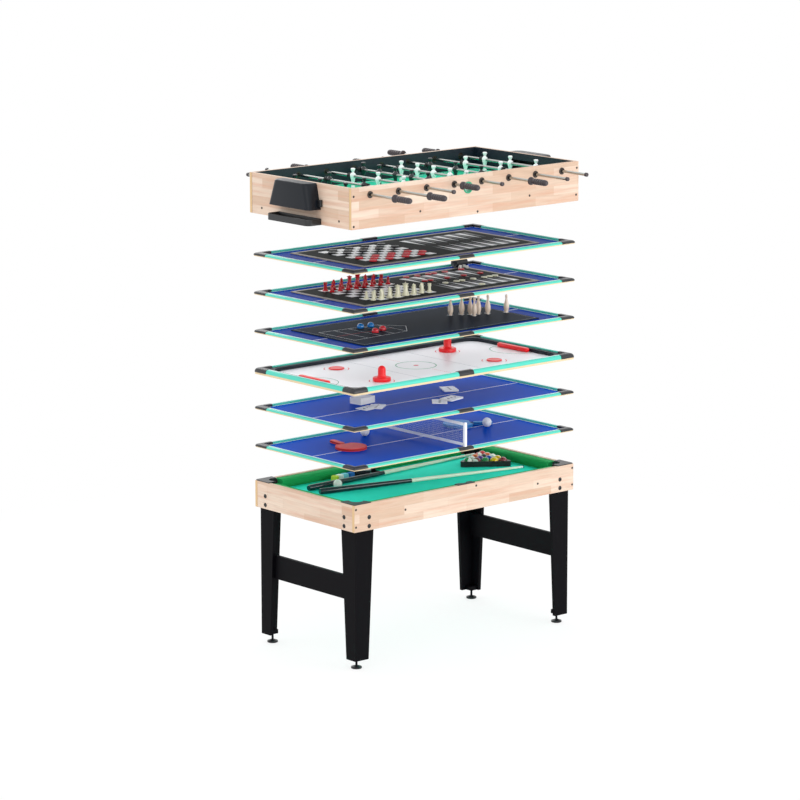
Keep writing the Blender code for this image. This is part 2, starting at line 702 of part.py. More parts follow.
def rack_inscribed():
    """Distance from the rack's middle to the inside of each bar."""
    step = ball_pitch() * math.sin(math.radians(60))
    return step * (RACK_ROWS - 1) / 3 + BALL_RADIUS * math.cos(math.pi / RACKED_BALL_SIDES) - LET_IN


def triangle(inscribed):
    """Triangle with its point towards -X, given the distance from its middle to each side."""
    return [(2 * inscribed * math.cos(math.radians(a)), 2 * inscribed * math.sin(math.radians(a)))
            for a in (180, 300, 60)]


def edging_sections(profile, ends):
    """Sections of a moulding: profile points are depth and height, an end is a point and the depth's way."""
    return [[(x + way_x * depth, y + way_y * depth, height) for depth, height in profile]
            for (x, y), (way_x, way_y) in ends]


def edging_profile(panel_top, height):
    """Rounded green moulding that stands on the board's edge."""
    low, high = panel_top - LET_IN, panel_top + height
    start, stop = EDGING_INSET, EDGING_WIDTH
    return ((start, low), (start, high - EDGING_ROUND), (start + EDGING_ROUND, high),
            (stop - EDGING_ROUND, high), (stop, high - EDGING_ROUND), (stop, low))


def cap_profile(panel_top, height):
    """Black cap over the moulding's ends, with a skirt down the board's edge."""
    foot, low = panel_top - BOARD_THICKNESS, panel_top - 2 * LET_IN
    high = panel_top + height + CAP_CROWN
    return ((0.0, foot), (0.0, high), (CAP_WIDTH, high),
            (CAP_WIDTH, low), (CAP_SKIRT, low), (CAP_SKIRT, foot))


def board_solids(level, edging_height=EDGING_HEIGHT):
    """A game board: thin panel, green mouldings round it, and black caps at corners and mid sides."""
    panel_top = rim_height(level) - edging_height
    half_x, half_y = TABLE_LENGTH / 2, TABLE_WIDTH / 2
    inset = CAP_SKIRT - LET_IN
    solids = [block((inset - half_x, half_x - inset), (inset - half_y, half_y - inset),
                    (panel_top - BOARD_THICKNESS - LET_IN, panel_top))]

    profile = edging_profile(panel_top, edging_height)
    long_start, long_stop = MID_CAP_LENGTH / 2 - LET_IN, half_x - CAP_LENGTH + LET_IN
    end_reach = half_y - CAP_LENGTH + LET_IN
    for sy in (-1, 1):
        for sx in (-1, 1):
            ends = [((sx * x, sy * half_y), (0, -sy)) for x in (long_start, long_stop)]
            solids.append(loft(edging_sections(profile, ends)))
    for sx in (-1, 1):
        ends = [((sx * half_x, y), (-sx, 0)) for y in (-end_reach, end_reach)]
        solids.append(loft(edging_sections(profile, ends)))

    profile = cap_profile(panel_top, edging_height)
    for _, sx, sy in CORNERS:
        ends = [((half_x - CAP_LENGTH, half_y), (0, -1)), ((half_x, half_y), (-1, -1)),
                ((half_x, half_y - CAP_LENGTH), (-1, 0))]
        solids.append(mirrored(loft(edging_sections(profile, ends)), sx, sy))
    for sy in (-1, 1):
        ends = [((x, sy * half_y), (0, -sy)) for x in (-MID_CAP_LENGTH / 2, MID_CAP_LENGTH / 2)]
        solids.append(loft(edging_sections(profile, ends)))
    return solids, panel_top


def build_tennis_set():
    solids, floor = board_solids(1)
    for x, y in TENNIS_BALLS:
        solids.append(placed(ball(TENNIS_BALL_RADIUS), x, y, floor + TENNIS_BALL_RADIUS - LET_IN))
    assemble("tennis_board", "blue_board", solids)

    seat = rim_height(1) + CAP_CROWN + SEAT_GAP
    post_y = TABLE_WIDTH / 2 - NET_POST_SIZE
    half = NET_POST_SIZE / 2
    top = floor + NET_POST_HEIGHT
    posts = [block((-half, half), (y - half, y + half), (seat, top)) for y in (-post_y, post_y)]
    reach = post_y - half + LET_IN
    tape = NET_TAPE_THICKNESS / 2
    low, high = seat + NET_TAPE_DROP, top - NET_TAPE_DROP
    tapes = [block((-tape, tape), (-reach, reach), (low, low + NET_TAPE_HEIGHT)),
             block((-tape, tape), (-reach, reach), (high - NET_TAPE_HEIGHT, high))]
    sheet = NET_SHEET_THICKNESS / 2
    sheet_height = (low + NET_TAPE_HEIGHT - LET_IN, high - NET_TAPE_HEIGHT + LET_IN)
    mesh = block((-sheet, sheet), (-reach, reach), sheet_height)
    assemble("tennis_net", "white_plastic", [*posts, *tapes, mesh])

    neck = math.degrees(math.asin(PADDLE_HANDLE_WIDTH / 2 / PADDLE_RADIUS))
    outline = arc(PADDLE_RADIUS, neck, 360 - neck, PADDLE_SIDES)
    reach = PADDLE_RADIUS + PADDLE_HANDLE_LENGTH
    outline += [(reach, -PADDLE_HANDLE_WIDTH / 2), (reach, PADDLE_HANDLE_WIDTH / 2)]
    for name, x, y, turn in PADDLES:
        paddle = prism(outline, floor + SEAT_GAP, floor + SEAT_GAP + PADDLE_THICKNESS)
        assemble(name + "_paddle", name + "_rubber", [placed(paddle, x, y, turn=turn)])


def build_card_set():
    solids, floor = board_solids(2)
    for x, y, turn, height in CARD_DECKS:
        deck = prism(rectangle(CARD_LENGTH, CARD_WIDTH), floor - LET_IN, floor + height)
        solids.append(placed(deck, x, y, turn=turn))
    assemble("card_board", "blue_board", solids)


def build_hockey_set():
    solids, floor = board_solids(3, HOCKEY_EDGING_HEIGHT)
    low = floor - LET_IN
    outer = (TABLE_LENGTH - 2 * (EDGING_WIDTH - LET_IN), TABLE_WIDTH - 2 * (EDGING_WIDTH - LET_IN))
    inner = [side - 2 * SURROUND_WIDTH for side in outer]
    opening = rounded_rectangle(*inner, SURROUND_ROUNDING, SURROUND_STEPS)
    solids.append(prism(rectangle(*outer), low, rim_height(3) - SURROUND_DROP, [opening]))
    for sx in (-1, 1):
        bar = prism(rounded_rectangle(HOCKEY_GOAL_WIDTH, HOCKEY_GOAL_LENGTH, HOCKEY_GOAL_ROUNDING,
                                      HOCKEY_GOAL_STEPS),
                    low, floor + HOCKEY_GOAL_HEIGHT)
        solids.append(placed(bar, sx * (inner[0] / 2 - HOCKEY_GOAL_WIDTH / 2 + LET_IN)))
    knob, base = STRIKER_KNOB_RADIUS, STRIKER_RADIUS
    profile = ((0, 0), (base, 0), (base, STRIKER_BASE), (knob, STRIKER_BASE + STRIKER_SLOPE),
               (knob, STRIKER_HEIGHT - knob * STRIKER_DOME_SHARE),
               (knob * STRIKER_CROWN_SHARE, STRIKER_HEIGHT), (0, STRIKER_HEIGHT))
    for x, y in STRIKERS:
        solids.append(placed(turned(profile, TURNED_SIDES), x, y, low))
    for x, y in DISCS:
        solids.append(prism(circle(DISC_RADIUS, TURNED_SIDES, (x, y)), low, floor + DISC_HEIGHT))
    assemble("hockey_board", "white_laminate", solids)


def overlay(floor):
    """Loose printed panel that lies on the board, and the height of its top."""
    low, top = floor + SEAT_GAP, floor + SEAT_GAP + OVERLAY_THICKNESS
    return prism(rectangle(OVERLAY_LENGTH, OVERLAY_WIDTH), low, top), top


def share_profile(radius, height, shares):
    """Profile whose points are shares of the height and of the radius, closed at both ends."""
    points = [(radius * width_share, height * rise_share) for rise_share, width_share in shares]
    return [(0, 0), *points, (0, height)]


def build_shuffleboard_set():
    solids, floor = board_solids(4)
    top = floor + OVERLAY_THICKNESS
    solids.append(prism(rectangle(OVERLAY_LENGTH, OVERLAY_WIDTH), floor - LET_IN, top))
    low = top - LET_IN
    profile = share_profile(PIN_RADIUS, PIN_HEIGHT, PIN_SHARES)
    row_step = PIN_PITCH * math.sin(math.radians(60))
    for row in range(PIN_ROWS):
        for place in range(row + 1):
            x, y = PIN_APEX_X + row * row_step, PIN_Y + (place - row / 2) * PIN_PITCH
            solids.append(placed(turned(profile, PIN_SIDES), x, y, low))
    profile = share_profile(PUCK_RADIUS, PUCK_HEIGHT, PUCK_SHARES)
    solids += [placed(turned(profile, PIN_SIDES), x, y, low) for x, y in PUCKS]
    assemble("shuffleboard_board", "slate_laminate", solids)


def chess_piece(height):
    radius = CHESS_RADIUS
    profile = ((0, 0), (radius, 0), (radius * CHESS_NECK_SHARE, height * CHESS_NECK_RISE_SHARE),
               (radius * CHESS_HEAD_SHARE, height * CHESS_HEAD_RISE_SHARE), (0, height))
    return turned(profile, CHESS_SIDES)


def square_place(number):
    """Distance of a row or file of squares from the middle of the field."""
    return (number - (SQUARES - 1) / 2) * SQUARE


def chess_side(side, low):
    """Sixteen pieces: the tall ones in the outer row, the pawns in front of them."""
    pieces = []
    for file, height in enumerate(CHESS_HEIGHTS):
        x = SQUARES_CENTRE_X + square_place(file)
        pieces.append(placed(chess_piece(height), x, side * BACK_ROW * SQUARE, low))
        pieces.append(placed(chess_piece(PAWN_HEIGHT), x, side * PAWN_ROW * SQUARE, low))
    return pieces


def counter(radius, height, x, y, top):
    return prism(circle(radius, COUNTER_SIDES, (x, y)), top - LET_IN, top + height)


def build_chess_set():
    solids, floor = board_solids(5)
    assemble("chess_board", "blue_board", solids)
    panel, top = overlay(floor)
    pitch = POINTS_LENGTH / POINT_COUNT
    counters = []
    for point, row in RED_COUNTERS + CREAM_COUNTERS:
        x = POINTS_START_X + (point + 1 / 2) * pitch
        counters.append(counter(COUNTER_RADIUS, COUNTER_HEIGHT, x, POINT_ROWS[row], top))
    half = DICE_SIZE / 2
    height = (top - LET_IN, top + DICE_SIZE)
    dice = [block((x - half, x + half), (y - half, y + half), height) for x, y in DICE]
    pieces = chess_side(1, top - LET_IN) + chess_side(-1, top - LET_IN)
    assemble("chess_set", "slate_laminate", [panel, *pieces, *counters, *dice])

    bore = DICE_CUP_RADIUS - DICE_CUP_WALL
    cup = turned(((0, 0), (DICE_CUP_RADIUS, 0), (DICE_CUP_RADIUS, DICE_CUP_LENGTH), (bore, DICE_CUP_LENGTH),
                  (bore, DICE_CUP_WALL), (0, DICE_CUP_WALL)), DICE_CUP_SIDES)
    cup = placed(cup, turn=math.degrees(math.pi / DICE_CUP_SIDES))
    flat = DICE_CUP_RADIUS * math.cos(math.pi / DICE_CUP_SIDES)
    cup_x = TABLE_LENGTH / 2 - DICE_CUP_END_DISTANCE
    cup = placed(cup, cup_x, DICE_CUP_Y, floor + SEAT_GAP + flat, turn=-90, axis="Y")
    assemble("dice_cup", "black_plastic", [cup])


def build_checkers_set():
    solids, floor = board_solids(6)
    assemble("checkers_board", "blue_board", solids)
    panel, top = overlay(floor)
    men = []
    for row in CHECKER_ROWS:
        for file in range(row % 2, SQUARES, 2):
            x, y = SQUARES_CENTRE_X + square_place(file), square_place(row)
            men.append(counter(CHECKER_RADIUS, CHECKER_HEIGHT, x, y, top))
    assemble("checkers_set", "slate_laminate", [panel, *men])


def rod_x(index):
    """Place of a rod: all stand evenly between the margins at both ends of the walls."""
    return (index / (len(RODS) - 1) - 1 / 2) * (SOCCER_LENGTH - 2 * ROD_END_MARGIN)

def wall_face(reach):
    """Outline of a wall of the table football top, as places along it and heights."""
    return [(-reach, SOCCER_BOTTOM), (reach, SOCCER_BOTTOM), (reach, SOCCER_TOP), (-reach, SOCCER_TOP)]


def build_cabinet():
    """Four walls of the table football top: the long ones carry the rods, the ends carry the goals."""
    half_x, half_y = SOCCER_LENGTH / 2, SOCCER_WIDTH / 2
    field_top = SOCCER_TOP - FIELD_DROP
    reach_x, reach_y = SOCCER_INNER_X - SEAT_GAP, SOCCER_INNER_Y - SEAT_GAP
    under = field_top - FIELD_THICKNESS - SEAT_GAP
    face = wall_face(half_x)
    for name, sy in SIDES:
        hole = BUSHING_RADIUS - LET_IN
        holes = [circle(hole, BUSHING_SIDES, (rod_x(i), ROD_HEIGHT)) for i in range(len(RODS))]
        solids = [long_bushing(rod_x(i), sy) for i in range(len(RODS))]
        if name == "front":
            holes.append(circle(INLET_RADIUS - LET_IN, INLET_SIDES, (INLET_X, SOCCER_TOP - INLET_DROP)))
            solids.append(inlet_ring())
        wall = upright(prism(face, *sorted((-sy * SOCCER_INNER_Y, -sy * half_y)), holes))
        across = sorted((sy * (SOCCER_INNER_Y + LET_IN), sy * (reach_y - LEDGER_SIZE)))
        ledger = block((-reach_x, reach_x), across, (under - LEDGER_SIZE, under))
        assemble(f"soccer_{name}_wall", "beech_panel", [wall, *solids, ledger])

    mouth = [(x, y + goal_middle()) for x, y in rectangle(GOAL_WIDTH, GOAL_HEIGHT)]
    face = wall_face(reach_y)
    for name, sx in ENDS:
        wall = upright(prism(face, -WALL_THICKNESS / 2, WALL_THICKNESS / 2, [mouth]))
        wall = placed(wall, sx * (half_x - WALL_THICKNESS / 2), turn=90)
        assemble(f"soccer_{name}_wall", "beech_panel", [wall, mirrored(ball_tray(), sx)])
        assemble(f"{name}_goal_housing", "black_plastic", [mirrored(goal_housing(), sx)])

    field = prism(rectangle(2 * reach_x, 2 * reach_y), field_top - FIELD_THICKNESS, field_top)
    assemble("soccer_field", "green_field", [field])


def goal_middle():
    """Height of the middle of the goal mouth, which stands on the field."""
    return SOCCER_TOP - FIELD_DROP + SEAT_GAP + GOAL_HEIGHT / 2


def long_bushing(x, sy):
    """Bushing let into a long wall, standing out on its outer face."""
    bushing = ring(BUSHING_RADIUS, ROD_BORE, BUSHING_INSET, WALL_THICKNESS + BUSHING_LIP, BUSHING_SIDES)
    return placed(placed(bushing, turn=-90 * sy, axis="X"), x, sy * SOCCER_INNER_Y, ROD_HEIGHT)


def inlet_ring():
    """Ring in the front wall where the ball is dropped in."""
    bore, lip = INLET_RADIUS - INLET_WALL, WALL_THICKNESS + BUSHING_LIP
    inlet = ring(INLET_RADIUS, bore, BUSHING_INSET, lip, INLET_SIDES)
    return placed(placed(inlet, turn=90, axis="X"), INLET_X, -SOCCER_INNER_Y, SOCCER_TOP - INLET_DROP)


def housing_outline(width, corner_share, inset):
    """Open outline of the housing from the wall round its cut corners and back, drawn at +X."""
    start = SOCCER_LENGTH / 2 + SEAT_GAP
    half, stop = width / 2 - inset, start + HOUSING_DEPTH - inset
    corner = start + HOUSING_DEPTH * corner_share - inset
    return [(start, -half), (corner, -half), (stop, -half * corner_share),
            (stop, half * corner_share), (corner, half), (start, half)]


def goal_housing():
    """Shell over the goal on the outside of the end wall, open to the goal and below, drawn at +X."""
    low = SOCCER_TOP - HOUSING_HEIGHT
    outer_top = housing_outline(HOUSING_TOP_WIDTH, HOUSING_TOP_SHARE, 0)
    outer_foot = housing_outline(HOUSING_FOOT_WIDTH, HOUSING_FOOT_SHARE, 0)
    inner_top = housing_outline(HOUSING_TOP_WIDTH, HOUSING_TOP_SHARE, HOUSING_WALL)
    inner_foot = housing_outline(HOUSING_FOOT_WIDTH, HOUSING_FOOT_SHARE, HOUSING_WALL)
    solid = bmesh.new()
    rows = []
    ceiling = SOCCER_TOP - HOUSING_WALL
    levels = ((outer_foot, low), (outer_top, SOCCER_TOP), (inner_top, ceiling), (inner_foot, low))
    for outline, height in levels:
        rows.append([solid.verts.new((x, y, height)) for x, y in outline])
    foot_row, top_row, ceiling_row, hem_row = rows
    solid.faces.new(top_row)
    solid.faces.new(ceiling_row)
    for first, second in ((foot_row, top_row), (ceiling_row, hem_row), (hem_row, foot_row)):
        for i in range(len(first) - 1):
            solid.faces.new((first[i], first[i + 1], second[i + 1], second[i]))
    solid.faces.new((foot_row[0], top_row[0], ceiling_row[0], hem_row[0]))
    solid.faces.new((foot_row[-1], top_row[-1], ceiling_row[-1], hem_row[-1]))
    solid.faces.new((top_row[0], top_row[-1], ceiling_row[-1], ceiling_row[0]))
    bmesh.ops.recalc_face_normals(solid, faces=list(solid.faces))
    return solid


def ball_tray():
    """Open tray under the housing, where scored balls come to rest, drawn at +X."""
    start = SOCCER_LENGTH / 2 - LET_IN
    stop = start + TRAY_DEPTH
    half = TRAY_WIDTH / 2
    low, high = SOCCER_BOTTOM, SOCCER_BOTTOM + TRAY_HEIGHT
    inner_round = TRAY_ROUNDING - TRAY_WALL
    near, far = TRAY_ROUNDING - half, half - TRAY_ROUNDING
    turn_x = stop - TRAY_ROUNDING
    outer = [(start, -half), *arc(TRAY_ROUNDING, -90, 0, TRAY_STEPS, (turn_x, near)),
             *arc(TRAY_ROUNDING, 0, 90, TRAY_STEPS, (turn_x, far)), (start, half)]
    inner = [(start + TRAY_WALL, TRAY_WALL - half), *arc(inner_round, -90, 0, TRAY_STEPS, (turn_x, near)),
             *arc(inner_round, 0, 90, TRAY_STEPS, (turn_x, far)), (start + TRAY_WALL, half - TRAY_WALL)]
    solid = bmesh.new()
    rows = []
    for outline, height in ((outer, low), (outer, high), (inner, high), (inner, low + TRAY_WALL)):
        rows.append([solid.verts.new((x, y, height)) for x, y in outline])
    for first, second in zip(rows, rows[1:]):
        for i in range(len(first)):
            solid.faces.new((first[i - 1], first[i], second[i], second[i - 1]))
    solid.faces.new(rows[0])
    solid.faces.new(rows[-1])
    bmesh.ops.recalc_face_normals(solid, faces=list(solid.faces))
    return solid


def figure():
    """A player: sections from foot to head, drawn with the rod's axis through the chest."""
    sections = []
    for height, width, depth in FIGURE_SECTIONS:
        sections.append([(depth * math.cos(a), width * math.sin(a), height)
                         for a in (math.tau * corner / FIGURE_SIDES for corner in range(FIGURE_SIDES))])
    return loft(sections)


def rod_travel(count, spacing):
    """How far a rod slides each way from the middle before its bumper meets the wall."""
    return SOCCER_INNER_Y - (count - 1) / 2 * spacing - FIGURE_WIDTH - BUMPER_LENGTH - SEAT_GAP - WALL_PLAY


def build_rods():
    for number, (count, spacing, team, share) in enumerate(RODS, 1):
        travel = rod_travel(count, spacing)
        origin = (rod_x(number - 1), share * travel, ROD_HEIGHT)
        end = SOCCER_WIDTH / 2 + BUSHING_LIP + travel + ROD_MARGIN
        outermost = (count - 1) / 2 * spacing + FIGURE_WIDTH - LET_IN
        rod = turned(rod_profile(end, outermost), ROD_SIDES)
        along = 90 if team == HOME else -90
        solids = [placed(placed(rod, turn=along, axis="X"), *origin)]
        for place in range(count):
            y = origin[1] + (place - (count - 1) / 2) * spacing
            solids.append(placed(figure(), origin[0], y, ROD_HEIGHT))
        assemble(f"rod_{number}", "chromed_steel", solids, origin, smooth=True)

        start = outermost + LET_IN + SEAT_GAP
        bumper = ring(BUMPER_RADIUS, ROD_BORE, start, start + BUMPER_LENGTH, BUMPER_SIDES)
        assemble(f"rod_{number}_bumper", "black_plastic",
                 [placed(placed(bumper, turn=-along, axis="X"), *origin)], origin)


def rod_profile(end, outermost):
    """A rod from its end cap past one bumper to the handle's collar, neck and barrel."""
    bumper, neck = outermost + BUMPER_LENGTH, GRIP_RADIUS * GRIP_NECK_SHARE
    collar, barrel = end + GRIP_COLLAR, end + 2 * GRIP_COLLAR
    stop = end + GRIP_LENGTH
    return ((0, -end - ROD_CAP_LENGTH), (ROD_CAP_RADIUS, -end - ROD_CAP_LENGTH), (ROD_CAP_RADIUS, -end),
            (ROD_RADIUS, -end), (ROD_RADIUS, outermost), (BUMPER_RADIUS, outermost), (BUMPER_RADIUS, bumper),
            (ROD_RADIUS, bumper), (ROD_RADIUS, end), (GRIP_COLLAR_RADIUS, end), (GRIP_COLLAR_RADIUS, collar),
            (neck, collar + GRIP_COLLAR / 2), (GRIP_RADIUS, barrel), (GRIP_RADIUS, stop - GRIP_COLLAR / 2),
            (neck, stop), (0, stop))


build_aprons()
build_bed()
build_pockets()
build_legs()
build_pool_set()
build_tennis_set()
build_card_set()
build_hockey_set()
build_shuffleboard_set()
build_chess_set()
build_checkers_set()
build_cabinet()
build_rods()
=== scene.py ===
# %% [markdown]
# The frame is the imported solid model. Loading it first gives every later piece something real to
# sit on, so a board or a leg is never placed by eye.

# %% Load the frame
import random
from math import acos, asin, atan, cos, degrees, pi, radians, sin, tau

import bmesh
import bpy
from mathutils import Matrix, Vector


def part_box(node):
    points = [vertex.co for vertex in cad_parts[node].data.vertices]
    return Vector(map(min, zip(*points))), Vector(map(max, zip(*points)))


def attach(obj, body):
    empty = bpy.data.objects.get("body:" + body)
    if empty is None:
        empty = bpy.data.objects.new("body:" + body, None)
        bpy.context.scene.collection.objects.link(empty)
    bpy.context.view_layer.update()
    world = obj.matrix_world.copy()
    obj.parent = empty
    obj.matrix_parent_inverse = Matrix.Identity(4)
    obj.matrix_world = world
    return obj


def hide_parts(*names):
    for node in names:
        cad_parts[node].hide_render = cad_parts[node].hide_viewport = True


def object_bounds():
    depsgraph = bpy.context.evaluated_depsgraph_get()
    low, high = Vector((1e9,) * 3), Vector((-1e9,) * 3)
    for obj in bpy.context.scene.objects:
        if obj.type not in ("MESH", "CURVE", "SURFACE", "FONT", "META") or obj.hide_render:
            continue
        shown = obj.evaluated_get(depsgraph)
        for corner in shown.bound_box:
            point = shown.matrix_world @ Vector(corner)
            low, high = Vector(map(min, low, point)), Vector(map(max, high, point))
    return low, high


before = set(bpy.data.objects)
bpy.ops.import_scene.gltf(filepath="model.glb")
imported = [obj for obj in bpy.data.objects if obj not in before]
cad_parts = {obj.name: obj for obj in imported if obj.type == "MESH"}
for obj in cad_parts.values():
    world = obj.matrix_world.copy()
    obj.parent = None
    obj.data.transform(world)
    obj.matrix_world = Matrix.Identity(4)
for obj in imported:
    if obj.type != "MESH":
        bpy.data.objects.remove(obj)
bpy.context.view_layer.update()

print("frame holds", len(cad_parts), "solids")

# %% [markdown]
# The photograph was taken with a long lens from above the front left corner. The same view comes
# from a camera on a sphere round the object. Its lens follows from the focal length in pixels,
# and the shift puts the lens axis where the picture has it.

# %% Camera
PHOTO_SIZE = 800
FOCAL_PIXELS = 3681.25
AXIS_PIXEL = (415.955, 424.364)
CAMERA_AZIMUTH = -41.194
CAMERA_ELEVATION = 11.724
CAMERA_DISTANCE = 15.457
CAMERA_TARGET = Vector((0, 0, 0.9))
SENSOR_WIDTH = 36.0

azimuth, elevation = radians(CAMERA_AZIMUTH), radians(CAMERA_ELEVATION)
away = Vector((sin(azimuth) * cos(elevation), -cos(azimuth) * cos(elevation), sin(elevation)))
lens = bpy.data.cameras.new("photo_camera")
lens.sensor_width = SENSOR_WIDTH
lens.lens = SENSOR_WIDTH * FOCAL_PIXELS / PHOTO_SIZE
lens.shift_x = (PHOTO_SIZE / 2 - AXIS_PIXEL[0]) / PHOTO_SIZE
lens.shift_y = (AXIS_PIXEL[1] - PHOTO_SIZE / 2) / PHOTO_SIZE
lens.clip_end = 100
camera = bpy.data.objects.new("photo_camera", lens)
camera.location = CAMERA_TARGET + away * CAMERA_DISTANCE
camera.rotation_euler = (-away).to_track_quat("-Z", "Y").to_euler()
bpy.context.scene.collection.objects.link(camera)
bpy.context.scene.camera = camera
bpy.context.scene.view_settings.view_transform = "Standard"
print("lens", round(lens.lens, 1), "mm")

# %% [markdown]
# Each material below is a small tree of shader nodes. One function adds a node, sets it up and
# wires its inputs. Another turns the hex colours that a designer writes into linear light.

# %% Node and colour helpers
MM = 0.001


def linear(hex_colour):
    """The linear colour, with alpha, of an sRGB hex value such as 2B5AA8."""
    shares = [int(hex_colour[place:place + 2], 16) / 255 for place in (0, 2, 4)]
    return tuple(s / 12.92 if s <= 0.04045 else ((s + 0.055) / 1.055) ** 2.4 for s in shares) + (1.0,)


def add(tree, kind, inputs=None, **settings):
    """Adds one node. inputs maps a socket's name or number to a value or to another node's output."""
    made = tree.nodes.new("ShaderNode" + kind)
    for name, value in settings.items():
        setattr(made, name, value)
    for name, value in (inputs or {}).items():
        if isinstance(value, bpy.types.NodeSocket):
            tree.links.new(value, made.inputs[name])
        else:
            made.inputs[name].default_value = value
    return made


def new_material(name, colour, roughness, metallic=0.0, ior=1.5, coat=0.0):
    """A material with its Principled shader set to the real stuff's typical values."""
    material = bpy.data.materials.new(name)
    material.use_nodes = True
    shader = material.node_tree.nodes["Principled BSDF"]
    shader.inputs["Base Color"].default_value = linear(colour)
    shader.inputs["Roughness"].default_value = roughness
    shader.inputs["Metallic"].default_value = metallic
    shader.inputs["IOR"].default_value = ior
    shader.inputs["Coat Weight"].default_value = coat
    return material, material.node_tree, shader


def object_point(tree, stretch=(1, 1, 1)):
    """The point on the piece in metres, stretched along the axes."""
    point = add(tree, "TexCoord").outputs["Object"]
    return add(tree, "Mapping", {"Vector": point, "Scale": stretch}, vector_type="POINT").outputs[0]


def spread(tree, value, reach, source=(0.0, 1.0)):
    """Maps a value from its source range onto the range it has to reach."""
    return add(tree, "MapRange", {"Value": value, "From Min": source[0], "From Max": source[1],
                                  "To Min": reach[0], "To Max": reach[1]}).outputs[0]


def speckle(tree, point, scale, detail=2.0, roughness=0.5):
    """Noise from 0 to 1, its scale in grains per metre."""
    inputs = {"Vector": point, "Scale": scale, "Detail": detail, "Roughness": roughness}
    return add(tree, "TexNoise", inputs).outputs["Fac"]


def emboss(tree, shader, height, depth, strength):
    """Relief of a depth in metres."""
    bump = add(tree, "Bump", {"Height": height, "Distance": depth, "Strength": strength})
    tree.links.new(bump.outputs["Normal"], shader.inputs["Normal"])


def mixed(tree, share, first, second, blend_type="MIX"):
    """Two colours mixed by a share from 0 to 1."""
    inputs = {"Fac": share, "Color1": first, "Color2": second}
    return add(tree, "MixRGB", inputs, blend_type=blend_type).outputs[0]


def shaded(tree, colour, shade):
    """A colour made a little darker or lighter by a shade near 1."""
    return mixed(tree, 1.0, colour, shade, "MULTIPLY")


def maths(tree, operation, first, second=0.5):
    return add(tree, "Math", {0: first, 1: second}, operation=operation).outputs[0]


def paint(tree, shader, colour):
    tree.links.new(colour, shader.inputs["Base Color"])


def roughen(tree, shader, point, grain, depth, gloss):
    """Fine relief and uneven gloss from one noise, its grain and depth in millimetres."""
    noise = speckle(tree, point, 1 / (grain * MM), 3)
    emboss(tree, shader, noise, depth * MM, 0.6)
    tree.links.new(spread(tree, noise, gloss), shader.inputs["Roughness"])
    return noise

# %% [markdown]
# The cabinets are rubberwood laminate: short blocks finger jointed into strips about 37 mm wide,
# sanded and sealed with a satin varnish. The eye sees blocks of slightly different tan, with fine
# grain and browner streaks of heartwood along them. A brick texture gives the blocks, and two
# stretched noises give the grain and the streaks.

# %% Rubberwood laminate
STRIP_MM = 37.5
BLOCK_MM = 240.0
JOINT_MM = 0.35
JOINT_SHIFT = 0.43
GRAIN_STRETCH = {"X": (12, 240, 240), "Y": (240, 12, 240)}
STREAK_STRETCH = {"X": (3.5, 60, 60), "Y": (60, 3.5, 60)}
GRAIN_TONE, GRAIN_SPAN = (0.93, 1.05), (0.3, 0.7)
STREAK_SHARE, STREAK_SPAN = (0.0, 0.7), (0.46, 0.74)
GRAIN_DEPTH = 0.15 * MM
PALE_BLOCK, TAN_BLOCK, JOINT_TAN, HEART_BROWN, INSIDE_NAVY = "DBC7B5", "C4A68E", "C0A08A", "C6967C", "061626"


def laminate(name, along, dark_inside=None):
    """Laminate whose strips run along X or Y. dark_inside is a half width past which wood shows."""
    material, tree, shader = new_material(name, PALE_BLOCK, 0.5)
    point = object_point(tree)
    split = add(tree, "SeparateXYZ", {0: point})
    sideways = split.outputs["Y" if along == "X" else "X"]
    across = maths(tree, "ADD", split.outputs["Z"], sideways)
    flat = add(tree, "CombineXYZ", {0: split.outputs[along], 1: across})
    bricks = add(tree, "TexBrick", {
        "Vector": flat.outputs[0], "Scale": 1.0, "Brick Width": BLOCK_MM * MM, "Row Height": STRIP_MM * MM,
        "Mortar Size": JOINT_MM * MM, "Mortar Smooth": 0.3, "Color1": linear(PALE_BLOCK),
        "Color2": linear(TAN_BLOCK), "Mortar": linear(JOINT_TAN)}, offset=JOINT_SHIFT, squash=1.0)

    def along_noise(stretch, detail, roughness):
        stretched = add(tree, "Mapping", {"Vector": point, "Scale": stretch[along]}).outputs[0]
        return speckle(tree, stretched, 1.0, detail, roughness)

    grain = along_noise(GRAIN_STRETCH, 4, 0.6)
    stain = spread(tree, along_noise(STREAK_STRETCH, 3, 0.55), STREAK_SHARE, STREAK_SPAN)
    heart = mixed(tree, stain, bricks.outputs["Color"], linear(HEART_BROWN))
    colour = shaded(tree, heart, spread(tree, grain, GRAIN_TONE, GRAIN_SPAN))
    if dark_inside is not None:
        outside = maths(tree, "GREATER_THAN", maths(tree, "ABSOLUTE", sideways), dark_inside)
        colour = mixed(tree, outside, linear(INSIDE_NAVY), colour)
    paint(tree, shader, colour)
    emboss(tree, shader, grain, GRAIN_DEPTH, 0.4)
    return material


WOOD_X = laminate("rubberwood_laminate_long", "X")
WOOD_Y = laminate("rubberwood_laminate_end", "Y")
END_BAND = new_material("ochre_melamine_end_band", "CFAE80", 0.5)[0]
print("laminate blocks", BLOCK_MM, "by", STRIP_MM, "mm")

# %% [markdown]
# The legs are fibreboard in black melamine: smooth pressed paper with a faint orange peel, so the
# highlights are soft and broad. The fittings are moulded ABS with a spark-eroded grain. Both are
# near black, and their relief and gloss tell them apart.

# %% Black finishes
FINE_TONE = (0.94, 1.04)


